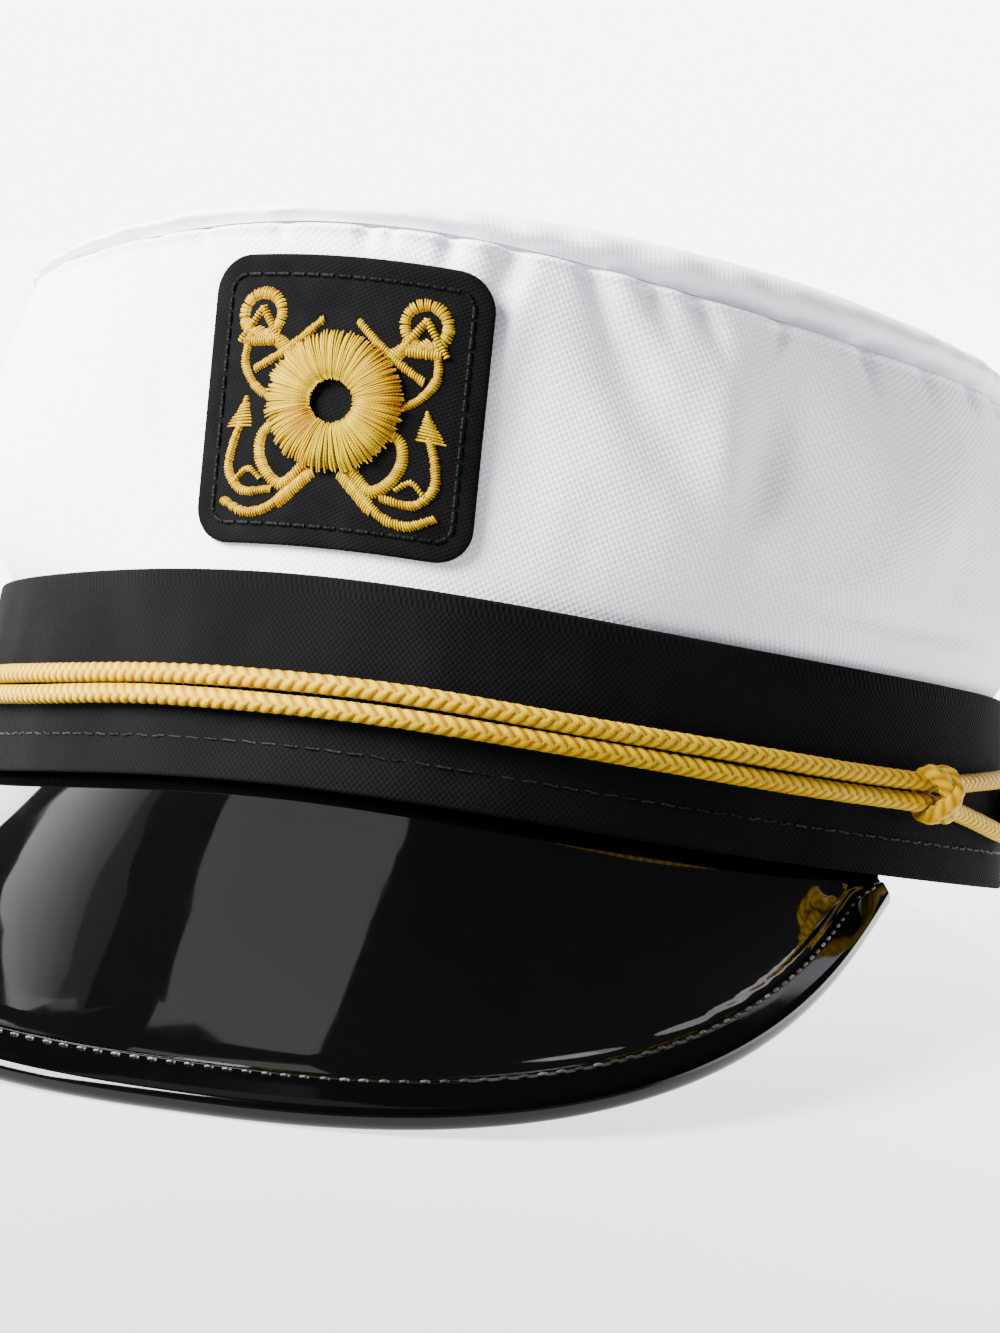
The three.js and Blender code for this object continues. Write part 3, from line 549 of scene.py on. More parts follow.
def fineCreases(angle, share, away, fade):
    # Creases and puckers of the photograph, seeded ones where it doesn't show the cloth, and a
    # slow unevenness, which stays away from the badge's seat
    bulge = 0.0
    for middle, height, wide, tall, slope, depth in crown["creases"]:
        rise = share - height
        sunk = depth * fade ** 0.5 * np.exp(-((rise / tall) ** 2))
        bulge = bulge + sunk * bell(middle + slope * rise, angle, wide)
    draw = np.random.default_rng(crown["puckerSeed"])
    hidden = np.linspace(84, 330, crown["loosePuckers"]) + draw.uniform(-2.5, 2.5, crown["loosePuckers"])
    loose = [(middle, draw.uniform(1.1, 2.4), draw.uniform(0.05, 0.2), draw.uniform(-15, 15),
              draw.uniform(-0.9, 0.45)) for middle in hidden]
    for middle, wide, reach, slope, depth in crown["puckers"] + loose:
        down = 1 - share
        sunk = crown["puckerDepth"] * depth * np.exp(-((down / reach) ** 2))
        bulge = bulge + sunk * bell(middle - slope * down, angle, wide)
    calm = smooth(15, 27, away)
    bulge = bulge + calm * fade * sum(ripple(angle, share, *wave) for wave in crown["waves"])
    ridge = crown["seamRidge"] * np.exp(-(((share - 0.985) / 0.012) ** 2))
    return bulge + ridge - crown["seamTurn"] * smooth(1 - crown["seamTurnShare"], 1, share)


def crownSidePart():
    # Closed wall: up the outside from its tuck in the band to the seam, and down the inside
    angle = anglesRound(crown["around"])[:, None]
    share = 1 - (1 - np.linspace(0, 1, crown["rowsOutside"])[None]) ** 1.4 + 0 * angle
    inner = np.linspace(1, 0, crown["rowsInside"])[None] + 0 * angle
    tuck, tall, thick = crown["tuck"], crown["weaveTall"], hat["clothThickness"]
    low = hat["bandHeight"] - tuck
    inside = -hat["bandThickness"] - gap
    outer = crownPoint(angle, share, 0.0, worn=1)
    inward = crownPoint(angle, inner, -thick, worn=1)
    foot, innerFoot = bandPoint(angle, low, inside), bandPoint(angle, low, inside - thick)
    grid = np.concatenate([foot, outer, inward, innerFoot], 1)
    around = crown["weaveRadius"] * np.linspace(-np.pi, np.pi, crown["around"] + 1)
    heights = np.concatenate([[-tuck], tall * share[0], tall * inner[0], [-tuck - thick, -tuck]])
    return gridPart(grid, True, True, around, heights)


top = {
    "domeHeight": 9.5,
    # sections: reach and rise as shares, lean in degrees, as the solids have them
    "reach": [1, 1.007, 1.002, 0.985, 0.95, 0.87, 0.72, 0.5, 0.22],
    "rise": [0, 0.2, 0.38, 0.53, 0.66, 0.79, 0.9, 0.97, 1],
    "lean": [0, 5, 25, 48, 66, 77, 84, 88, 90],
    "lipPuffs": [(-60, 34, -0.6), (-8, 26, -0.34), (52, 22, 0.22), (118, 20, 0.12), (172, 24, -0.12)],
    "lipRoll": 2.3, "lipRows": 0.9, "lipLeast": 0.45,  # how the lip is drawn in at the seam
    # gathers over the lip and slow waves of the panel: size, seed, times round, slopes
    "gathers": (0.28, 21, (14, 60), (-1, 1)), "waves": (0.35, 8, (1, 6), (-4, 4)),
    "around": 600, "rowsOutside": 84, "rowsInside": 26,
}


def domePoint(angle, row, out, worn=0.0):
    # Point of the top panel: its section is read between the table's rows, and the lip is puffed
    # up or pressed down by bell curves of the angle
    places = np.arange(len(top["reach"]))
    reach, rise = readSmooth(row, places, top["reach"]), readSmooth(row, places, top["rise"])
    slope = np.radians(readSmooth(row, places, top["lean"]))
    tall = rise
    for middle, wide, puff in top["lipPuffs"]:
        tall = tall + rise * reach * puff * bell(middle, angle, wide)
    least = top["lipLeast"]
    drawnIn = least + (1 - least) * smooth(0, 50, np.abs(np.degrees(angle)))
    lip = np.exp(-((row / top["lipRows"]) ** 2)) * drawnIn
    gathers = ripple(angle, row, *top["gathers"]) * smooth(0.3, 1.2, row) * smooth(4.5, 1.5, row)
    slow = ripple(angle, reach, *top["waves"]) * smooth(1.5, 4, row)
    moved = out + worn * (gathers + slow * smooth(0.05, 0.5, reach))
    x, y = seamOval(angle, reach, moved * np.cos(slope) - worn * top["lipRoll"] * lip)
    seat = hat["seamHeight"] + hat["seamArch"] * lift(angle) * reach ** 2 + gap
    return np.stack(np.broadcast_arrays(x, y, seat + top["domeHeight"] * tall + moved * np.sin(slope)), -1)


def crownTopPart():
    # Closed panel: from the middle of its outside, over the lip, and back to the middle inside
    angle = anglesRound(top["around"])[:, None]
    last = len(top["reach"]) - 1
    spread = np.linspace(0, 1, top["rowsOutside"])[::-1] ** 1.3
    outer = last * spread[None] + 0 * angle
    inner = last * np.linspace(0, 1, top["rowsInside"])[None] + 0 * angle
    outside = domePoint(angle, outer, 0.0, worn=1)
    inside = domePoint(angle, inner, -hat["clothThickness"], worn=1)
    grid = np.concatenate([outside, inside], 1).transpose(1, 0, 2)
    rows, columns = grid.shape[:2]
    part = gridPart(grid, False, True, np.zeros(rows), np.zeros(columns + 1))
    # the weave runs straight across the panel and on over its lip: each point keeps its way from
    # the middle, at its distance measured along the cloth
    steps = np.linalg.norm(np.diff(grid, axis=0, prepend=grid[:1]), axis=-1)
    far = np.cumsum(steps, 0) + np.hypot(grid[0, :, 0], grid[0, :, 1])
    way = grid[..., :2] / np.hypot(grid[..., 0], grid[..., 1])[..., None]
    index = part["faces"][0][0]
    part["faces"] = [(index, (way * far[..., None]).reshape(-1, 2)[index])]
    return capEnds(part, columns)


whiteTwillFinish = twillFinish("whiteTwill", whiteTwill)
topTwillFinish = twillFinish("whiteTwillTop", topTwill)
putPiece("crownSide", crownSidePart(), whiteTwillFinish, ["crown_side"])
putPiece("crownTop", crownTopPart(), topTwillFinish, ["crown_top"])


band = {
    "around": 720, "edgeRadius": 0.6, "weaveRadius": 94,
    "waves": (0.1, 31, (7, 40), (-6, 6)),  # its unevenness: size, seed, times round, slopes
    "stitchHeight": 6.3, "stitchPitch": 3.5, "stitchLength": 2.5, "stitchRadius": 0.2,
    "stitchTall": 0.16, "stitchSunk": 0.02, "stitchSeed": 41,
}


def bandPart():
    # Closed wall round the head, its section a tall rectangle with rounded top and bottom edges
    angle = anglesRound(band["around"])[:, None]
    high, thick, radius = hat["bandHeight"], hat["bandThickness"], band["edgeRadius"]
    turn = np.radians(np.linspace(0, 90, 5))
    heights, outs = [], []
    for up, side, start in ((1, 1, 0), (1, -1, 1), (-1, -1, 2), (-1, 1, 3)):
        arc = turn if start % 2 == 0 else turn[::-1]
        middleUp = high - radius if up > 0 else radius
        middleOut = -radius if side > 0 else radius - thick
        heights.append(middleUp + up * radius * np.sin(arc))
        outs.append(middleOut + side * radius * np.cos(arc))
    between = np.linspace(0, 1, 14)[1:-1]
    rise = heights[3][-1] + between * (heights[0][0] - heights[3][-1])
    fall = heights[1][-1] + between * (heights[2][0] - heights[1][-1])
    height = np.concatenate([heights[0], heights[1], fall, heights[2], heights[3], rise])
    out = np.concatenate([outs[0], outs[1], 0 * fall - thick, outs[2], outs[3], 0 * rise])
    height, out = height[None] + 0 * angle, out[None] + 0 * angle
    calm = smooth(0, 4, height) * smooth(0, 4, high - height)
    out = out + calm * ripple(angle, height / high, *band["waves"])
    grid = bandPoint(angle, height, out)
    around = band["weaveRadius"] * np.linspace(-np.pi, np.pi, band["around"] + 1)
    path = np.concatenate([[0], np.cumsum(np.abs(np.diff(height[0])) + np.abs(np.diff(out[0])))])
    return gridPart(grid, True, True, around, np.append(path, path[-1] + 1))


def bandStitchPart():
    # Row of stitches round the band: each one a short thread that dips into the cloth at its ends
    angles = np.linspace(-np.pi, np.pi, 4001)
    line = bandPoint(angles, band["stitchHeight"], 0)
    along = distances(line)
    count = int(along[-1] / band["stitchPitch"])
    middles = (np.arange(count) + 0.5) * along[-1] / count
    draw = np.random.default_rng(band["stitchSeed"])
    places = middles[:, None] + band["stitchLength"] * stitchStep + draw.uniform(-0.15, 0.15, (count, 1))
    angle = np.interp(places, along, angles)
    slant = draw.uniform(-0.12, 0.12, (count, 1)) * np.sign(stitchStep)
    paths = bandPoint(angle, band["stitchHeight"] + slant, stitchRise(band))
    normal = unit(bandPoint(angle, 5, 1) - bandPoint(angle, 5, 0))
    shade = draw.uniform(0.2, 1, (count, 1, 1))
    return tubePart(paths, band["stitchRadius"], normal, 6, shade)


putPiece("bandCloth", bandPart(), twillFinish("blackTwill", blackTwill), ["band"])
putPiece("bandStitches", bandStitchPart(), threadFinish("blackThread", blackThread))


visor = {
    "reach": 35.1, "droop": 21.3, "endAngle": 74.5, "thickness": 2, "tuck": 6,
    "bindingWidth": 6.6, "bindingThickness": 0.8, "widestLeg": 0.6,
    "sideCurve": 2.5, "frontCurve": 3.2,
    "swell": -2.0, "swellFrom": 6, "swellWhole": 16, "ridgeIn": 1.1, "ridgeWide": 0.45, "ridgeTall": 0.3,
    "stitchIn": 5.2, "stitchPitch": 3.0, "stitchLength": 1.35, "stitchRadius": 0.26,
    "stitchTall": 0.2, "stitchSunk": 0.06, "stitchSeed": 51,
    "steps": 260, "rows": 46, "endShare": 0.008, "bindingEndShare": 0.013,
}


def visorRootLine(t):
    # Line along the band's bottom that the visor hangs from
    angle = math.radians(visor["endAngle"]) * (2 * t - 1)
    return bandPoint(angle, 0, -hat["bandThickness"] - gap) - [0, 0, gap]


def visorEdgeLine(t):
    # Free edge in one drooping plane: with w the share of the half width, the edge lies
    # S (1 - |w|^p)^(1/q) along the plane from the visor's ends
    droop, end = math.radians(visor["droop"]), math.radians(visor["endAngle"])
    inset = visor["bindingThickness"] + gap
    endX, endY = ovalPoint(end, hat["rimHalfWidth"], hat["rimHalfLength"], hat["rimNarrowing"], -inset)
    depth = (hat["rimHalfLength"] + visor["reach"] + endY) / math.cos(droop)
    width = np.sin(np.pi * (t - 0.5))
    along = depth * np.clip(1 - np.abs(width) ** visor["sideCurve"], 0, 1) ** (1 / visor["frontCurve"])
    down = along * math.sin(droop) + inset + gap
    return np.stack([endX * width, endY - along * math.cos(droop), -down], -1)


def evenly(line, shares):
    # Places along a line at shares of its length, from the lengths of many short steps
    t = (1 - np.cos(np.linspace(0, np.pi, 6001))) / 2
    length = distances(line(t))
    return np.interp(shares, length / length[-1], t), length[-1]


def visorFrame(share):
    # Root, edge, way from one to the other, its length, and the way out of the upper face
    share = np.asarray(share, float)
    rootT, _ = evenly(visorRootLine, share)
    edgeT, _ = evenly(visorEdgeLine, share)
    ahead, _ = evenly(visorEdgeLine, np.clip(share + 0.0005, 0, 1))
    behind, _ = evenly(visorEdgeLine, np.clip(share - 0.0005, 0, 1))
    root, edge = visorRootLine(rootT), visorEdgeLine(edgeT)
    depth = np.linalg.norm(edge - root, axis=-1)
    way = unit(edge - root)
    normal = unit(np.cross(way, unit(visorEdgeLine(ahead) - visorEdgeLine(behind))))
    return math.radians(visor["endAngle"]) * (2 * rootT - 1), root, edge, way, depth, normal


def visorShares(endShare):
    # Shares along the visor, closer together towards its ends
    return 0.5 + (0.5 - endShare) * np.sin(np.pi * (np.linspace(0, 1, visor["steps"]) - 0.5))


def bindingLeg(depth):
    # How far the binding reaches in from the edge: less where the visor is short
    return np.minimum(visor["bindingWidth"], visor["widestLeg"] * depth)


def swellAt(share, depth):
    # The board's swell at a share of the way between root and edge, none where it is short
    return visor["swell"] * np.sin(np.pi * share) * smooth(visor["swellFrom"], visor["swellWhole"], depth)


def visorPart():
    # Closed board: flange in the band, then straight lines from the root to the edge, a little
    # swelled, with a raised ridge beside the binding. The under face follows at its thickness.
    share = visorShares(visor["endShare"])
    angle, root, _, way, depth, normal = visorFrame(share)
    row = np.append([0, 0.003], np.linspace(0.02, 1, visor["rows"] - 2))[None]
    pastRidge = depth[:, None] * (1 - row) - bindingLeg(depth)[:, None] - visor["ridgeIn"]
    ridge = visor["ridgeTall"] * np.exp(-((pastRidge / visor["ridgeWide"]) ** 2))
    swollen = swellAt(row, depth[:, None])
    raised = ridge * smooth(visor["swellFrom"], visor["swellWhole"], depth)[:, None] + swollen

    def face(inwards, rise):
        inside = -hat["bandThickness"] - gap - inwards
        flange = bandPoint(angle, visor["tuck"], inside)[:, None]
        board = root[:, None] + way[:, None] * (depth[:, None] * row)[..., None]
        return np.concatenate([flange, board + normal[:, None] * (rise - inwards)[..., None]], 1)

    grid = np.concatenate([face(0, raised), face(visor["thickness"], swollen)[:, ::-1]], 1)
    across = np.append(np.linspace(0, 100, grid.shape[1]), 0)
    part = gridPart(grid, False, True, np.linspace(0, 300, len(share)), across)
    return capEnds(part, grid.shape[1], turned=True)


def bindingPart():
    # Strip folded round the visor's edge: two legs and a round nose, outside and inside
    share = visorShares(visor["bindingEndShare"])
    _, _, edge, way, depth, normal = visorFrame(share)
    leg = bindingLeg(depth)
    middle = edge - normal * visor["thickness"] / 2
    turn = np.radians(np.linspace(90, -90, 17))
    legShare = np.linspace(1, 0, 7)[:-1]
    bulge = swellAt(np.clip(leg / depth, 0, 1), depth)
    backwards = np.concatenate([legShare, 0 * turn, legShare[::-1]])
    rise = np.concatenate([1 + 0 * legShare, np.sin(turn), -1 + 0 * legShare])
    nose = np.concatenate([0 * legShare, np.cos(turn), 0 * legShare])
    fade = smooth(1.0, 0.8, backwards)

    def hairpin(radius, tucked):
        # its free edges are turned down onto the board
        up = (radius - tucked * (1 - fade)) * rise + bulge[:, None] * backwards
        along = leg[:, None] * -backwards + radius * nose
        return middle[:, None] + way[:, None] * along[..., None] + normal[:, None] * up[..., None]

    inside = visor["thickness"] / 2 + gap
    outer = hairpin(inside + visor["bindingThickness"], 0.5)
    grid = np.concatenate([outer, hairpin(inside, 0.0)[:, ::-1]], 1)
    across = np.append(np.linspace(0, 30, grid.shape[1]), 0)
    part = gridPart(grid, False, True, np.linspace(0, 330, len(share)), across)
    return capEnds(part, grid.shape[1], turned=True)


def visorStitchPart():
    # Stitches along the binding, a set distance in from the visor's edge
    _, length = evenly(visorEdgeLine, 0.5)
    count = int(0.94 * length / visor["stitchPitch"])
    draw = np.random.default_rng(visor["stitchSeed"])
    share = np.linspace(0.03, 0.97, count)[:, None] + visor["stitchLength"] / length * stitchStep
    share = share + draw.uniform(-0.0004, 0.0004, (count, 1))
    _, _, edge, way, depth, normal = visorFrame(share.ravel())
    back = np.minimum(visor["stitchIn"], 0.78 * bindingLeg(depth))
    radius = visor["thickness"] / 2 + gap + visor["bindingThickness"]
    swollen = swellAt(np.clip(back / depth, 0, 1), depth)
    high = radius - visor["thickness"] / 2 + swollen + np.tile(stitchRise(visor), count)
    paths = (edge - way * back[:, None] + normal * high[:, None]).reshape(*share.shape, 3)
    shade = draw.uniform(0, 1, (count, 1, 1)) ** 2
    return tubePart(paths, visor["stitchRadius"], normal.reshape(paths.shape), 6, shade)


boardFinish, bindingFinish = patentFinish("patentBoard", patent), patentFinish("patentBinding", binding)
visorBoard = putPiece("visorBoard", visorPart(), boardFinish, ["visor"])
putPiece("visorBinding", bindingPart(), bindingFinish, ["visor_binding"])
putPiece("visorStitches", visorStitchPart(), threadFinish("visorThread", visorThread))


cord = {
    "diameter": 3.3, "height": 14.6, "knotAngle": 76.5, "knotStandOff": 2, "knotSpread": 5,
    "sway": 0.12, "plaitPitch": 2.15, "plaitSlant": 0.7, "plaitDepth": 0.24, "perPitch": 10, "sides": 24,
    "knotTall": 4.05, "knotDeep": 2.9, "knotForwards": 0.9, "knotLeans": [-34, 27], "knotOver": 0.9,
    "buttonAngle": 101, "buttonRadius": 6, "stemRadius": 3, "buttonDome": 3, "domeStart": 28,
    "buttonSides": 48, "swaySeed": 70, "lumpSeed": 61,
}
upwards = np.array([0, 0, 1])
strandOut = gap + cord["diameter"] / 2


def plaitTube(path, outward, turnedOver=1e9):
    # Tube round a closed line whose radius follows a plait: four columns of lumps round it, each
    # lump slanted the other way from its neighbours', so that they meet in chevrons outside. Above
    # the height given, where a loop runs back, the chevrons are turned over to point the same way.
    length = np.linalg.norm(np.roll(path, -1, 0) - path, axis=1)
    along = np.append(0, np.cumsum(length))
    pitches = max(int(round(along[-1] / cord["plaitPitch"])), 4)
    steps = pitches * cord["perPitch"]
    places = along[-1] * np.arange(steps) / steps
    even = np.stack([np.interp(places, along, np.append(path[:, k], path[0, k])) for k in range(3)], -1)
    facing = unit(outward(even))
    turn = fullTurn(cord["sides"])
    zigzag = cord["plaitSlant"] * np.abs((turn / np.pi) % 1 * 2 - 1)
    height = even[:, 2] - hat["frontArch"] * lift(np.arctan2(even[:, 0], -even[:, 1]))
    sense = np.where(height > turnedOver, -1, 1)[:, None]
    columns = 0.5 * (np.floor(turn / (np.pi / 2)) % 2)
    pitch = np.arange(steps + 1)[:, None] / cord["perPitch"]
    phase = pitch[:-1] + sense * zigzag + columns
    lump = np.abs(np.cos(np.pi * phase)) ** 0.6
    draw = np.random.default_rng(cord["lumpSeed"])
    lump = lump * (1 - 0.1 * draw.random((steps // cord["perPitch"], 1))).repeat(cord["perPitch"], 0)
    radius = cord["diameter"] / 2 * (1 - cord["plaitDepth"] * (1 - lump))
    # painted shade: the grooves between the plait's lumps get the dark colour, and the lumps' tops the light
    # one
    shade = np.clip(1.25 * lump ** 1.6 - 0.2, 0, 1)
    part = tubePart(even[None], radius[None], facing[None], cord["sides"], shade[None], closed=True)
    index, _ = part["faces"][0]
    fibre = pitch + np.append(zigzag, zigzag[0])
    row, side = quadCorners(steps, cord["sides"])
    corners = np.stack([fibre[row, side] * cord["plaitPitch"], row * along[-1] / steps], -1)
    part["faces"] = [(index, corners)]
    return part, along[-1]


def strandStandOff(angle):
    # The strands' distance from the band, more beside the knots that they run through
    return strandOut + cord["knotStandOff"] * bell(cord["knotAngle"], np.abs(angle), cord["knotSpread"])


def chinLoopLine():
    # Whole loop: over the front on the upper strand, round one button, back on the lower strand,
    # and round the other button. The strands lie side by side and spread past each knot.
    end = math.radians(cord["buttonAngle"])
    close = cord["diameter"] / 2 + gap / 2
    wide = cord["stemRadius"] + gap + cord["diameter"] / 2
    points = []
    for side in (1, -1):
        angle = side * end * np.linspace(-1, 1, 600)
        spread = close + (wide - close) * smooth(math.radians(cord["knotAngle"]), end, np.abs(angle))
        sway = ripple(angle, 0, cord["sway"], cord["swaySeed"] + side, (3, 12), (0, 1))
        sway = sway * smooth(0, 0.2, end - np.abs(angle))
        points.append(bandPoint(angle, cord["height"] + side * spread + sway, strandStandOff(angle)))
        button = bandPoint(side * end, cord["height"], strandOut)
        behind = unit(bandPoint(side * (end + 0.02), cord["height"], strandOut) - button)
        turn = np.radians(np.linspace(90, -90, 40))[1:-1, None]
        points.append(button + wide * behind * np.cos(turn) + side * wide * np.sin(turn) * upwards)
    return np.concatenate(points)


def knotTurnPath(side, tilt, over):
    # One turn of a knot: an oval ring round both strands, leant to one side. One of the two is
    # carried out over the other where they cross in front.
    angle, height = side * math.radians(cord["knotAngle"]), cord["height"]
    middle = bandPoint(angle, height, strandStandOff(angle))
    out = bandPoint(angle, height, strandStandOff(angle) + 1) - middle
    along = unit(bandPoint(angle + 0.02, height, strandStandOff(angle)) - middle)
    slope = math.radians(side * tilt)
    turn = fullTurn(120)
    rise = cord["knotTall"] * np.sin(turn)
    crossing = over * np.exp(-((np.sin(turn) / 0.55) ** 2)) * (np.cos(turn) > 0)
    deep = cord["knotDeep"] * np.cos(turn) + cord["knotForwards"] + crossing
    return (middle + along * (rise * math.sin(slope))[:, None] + out * deep[:, None]
            + upwards * (rise * math.cos(slope))[:, None])


def knotPart(side):
    # Two crossed turns of the plaited cord
    turns = []
    for tilt, over in zip(cord["knotLeans"], (0.0, cord["knotOver"])):
        path = knotTurnPath(side, tilt, over)
        middle = path.mean(0)
        part, _ = plaitTube(path, lambda even, middle=middle: even - middle)
        turns.append(outwards(part))
    return joinParts(turns)


def buttonPart(side):
    # Lathe: a stem for the cord to go round, under a plain domed head with a rolled edge
    angle = side * math.radians(cord["buttonAngle"])
    seat = bandPoint(angle, cord["height"], gap)
    out = unit(bandPoint(angle, cord["height"], gap + 1) - seat)
    stem, dome = cord["diameter"] + 2 * gap, cord["buttonDome"]
    wide, thin = cord["buttonRadius"], cord["stemRadius"]
    turn, edge = np.radians(np.linspace(-90, 60, 9)), 0.16 * dome
    arc = np.radians(np.linspace(cord["domeStart"], 89.5, 16))
    rounded = (np.sin(arc) - math.sin(math.radians(cord["domeStart"]))) / 0.53
    radii = np.concatenate([[0.02, thin, thin, thin], wide - edge + edge * np.cos(turn), wide * np.cos(arc)])
    rises = np.concatenate([[0, 0, 0.5 * stem, stem], stem + edge + edge * np.sin(turn),
                            stem + 2 * edge + (dome - 2 * edge) * rounded])
    across = unit(np.cross(out, upwards))
    up = np.cross(across, out)
    spin = fullTurn(cord["buttonSides"])
    ring = across * np.cos(spin)[:, None] + up * np.sin(spin)[:, None]
    grid = seat + radii[:, None, None] * ring[None] + rises[:, None, None] * out
    part = gridPart(grid, False, True, np.arange(len(radii)) * 0.5, np.linspace(0, 38, len(spin) + 1))
    return capEnds(part, len(spin))


goldCordFinish = threadFinish("goldCord", goldCord)
loopPart, loopLength = plaitTube(chinLoopLine(), lambda even: even * [1, 1, 0], cord["height"])
print("chin cord's length", round(loopLength, 1), "mm")
putPiece("chinCord", loopPart, goldCordFinish, ["chin_cord"])
for name, side in (("knotLeft", 1), ("knotRight", -1)):
    putPiece(name, knotPart(side), goldCordFinish)
brassButton = brassFinish("brassButton", brass)
for name, side, node in (("buttonLeft", 1, "side_button_left"), ("buttonRight", -1, "side_button_right")):
    putPiece(name, buttonPart(side), brassButton, [node])


badge = {
    "width": 46.7, "margin": 4.9, "cornerRadius": 6, "thickness": 1.2, "aside": 0.4, "drop": 0.5,
    "edgeRound": 0.55, "pillow": 0.25, "pillowFrom": 3.3, "pillowWhole": 12, "outline": 240,
    "halfSpan": 23.2, "innerRound": 0.4 / 17,  # past its round corners a ring keeps corners this round
    # rings of the upper face: how far inside the outline, and how much higher than its thickness
    "upperInsets": [1.2, 2.4, 3.3, 4.2, 6, 9, 13, 18, 22.5],
    "upperRises": [0.08, 0.02, -0.12, 0.02, 0, 0, 0, 0, 0], "underInsets": [22.5, 16, 10, 5, 2.0],
    "stitchIn": 3.3, "stitchPitch": 2.5, "stitchLength": 1.9, "stitchRadius": 0.36,
    "stitchTall": 0.14, "stitchSunk": 0.1, "stitchSeed": 81,
}
frontHeight = hat["seamHeight"] + hat["seamArch"] - hat["bandHeight"] - hat["frontArch"]
badgeHeight = frontHeight - 2 * badge["margin"]


def badgePoint(across, up, out):
    # Seat of the badge on the crown's front: across and up from its middle, out from the cloth
    share = 0.5 + (up - badge["drop"]) / frontHeight
    foot = (hat["rimHalfWidth"] - hat["bandTaper"] - hat["bandThickness"]) * (1 - hat["rimNarrowing"])
    radius = foot + share * (hat["seamHalfWidth"] * (1 - hat["seamNarrowing"]) - foot)
    return crownPoint((across + badge["aside"]) / radius, share, gap + out)


def roundedOutline(halfWidth, halfHeight, radius, count):
    # Outline of a rectangle with round corners, at even steps of its length
    turn = np.radians(np.linspace(0, 90, 12))
    corners = []
    for start, x, y in ((0, 1, 1), (90, -1, 1), (180, -1, -1), (270, 1, -1)):
        spin = turn + math.radians(start)
        corners.append(np.stack([x * (halfWidth - radius) + radius * np.cos(spin),
                                 y * (halfHeight - radius) + radius * np.sin(spin)], -1))
    line = np.concatenate(corners + [corners[0][:1]])
    length = distances(line)
    places = length[-1] * np.arange(count) / count
    return np.stack([np.interp(places, length, line[:, k]) for k in range(2)], -1), length[-1]


def badgePart():
    # Closed patch: rings of its outline from the under face's middle, over the round edge, to the
    # upper face's middle, which is a little pillowed inside its stitches
    thick, edge = badge["thickness"], badge["edgeRound"]
    turn = np.radians(np.linspace(-90, 90, 9))
    under, upper = np.array(badge["underInsets"]), np.array(badge["upperInsets"])
    pillow = badge["pillow"] * smooth(badge["pillowFrom"], badge["pillowWhole"], upper)
    heights = np.concatenate([0 * under, thick / 2 + thick / 2 * np.sin(turn),
                              thick + np.array(badge["upperRises"]) + pillow])
    rings = []
    for inset in np.concatenate([under, edge * (1 - np.cos(turn)), upper]):
        corner = max(badge["cornerRadius"] - inset, badge["innerRound"] * (badge["halfSpan"] - inset))
        halfWidth, halfHeight = badge["width"] / 2 - inset, badgeHeight / 2 - inset
        rings.append(roundedOutline(halfWidth, halfHeight, corner, badge["outline"])[0])
    flat = np.array(rings)
    points = badgePoint(flat[..., 0], flat[..., 1], heights[:, None])
    count = badge["outline"]
    part = gridPart(points, False, True, np.zeros(len(rings)), np.zeros(count + 1))
    index = part["faces"][0][0]
    part["faces"] = [(index, flat.reshape(-1, 2)[index])]
    return capEnds(part, count)


def badgeNormal(flat):
    # Way out of the badge's face at points given across and up
    return unit(badgePoint(flat[..., 0], flat[..., 1], 1) - badgePoint(flat[..., 0], flat[..., 1], 0))


def placeThreads(flat, rise, radius, shade):
    # Threads drawn on the badge's face: flat paths across and up, with a rise over the face
    points = badgePoint(flat[..., 0], flat[..., 1], badge["thickness"] + rise)
    return tubePart(points, radius, badgeNormal(flat), 6, shade)


def badgeStitchPart():
    # Stitches of black thread, a set distance inside the badge's outline
    inset, fineness = badge["stitchIn"], 2400
    fine, length = roundedOutline(badge["width"] / 2 - inset, badgeHeight / 2 - inset,
                                  badge["cornerRadius"] - inset, fineness)
    count = int(length / badge["stitchPitch"])
    draw = np.random.default_rng(badge["stitchSeed"])
    middles = (np.arange(count) * length / count)[:, None] + draw.uniform(-0.2, 0.2, (count, 1))
    places = (middles + badge["stitchLength"] * stitchStep) / length * fineness
    low = np.floor(places).astype(int)
    part = (places - low)[..., None]
    paths = fine[low % fineness] * (1 - part) + fine[(low + 1) % fineness] * part
    shade = draw.uniform(0.1, 1, (count, 1, 1))
    return placeThreads(paths, stitchRise(badge), badge["stitchRadius"], shade)


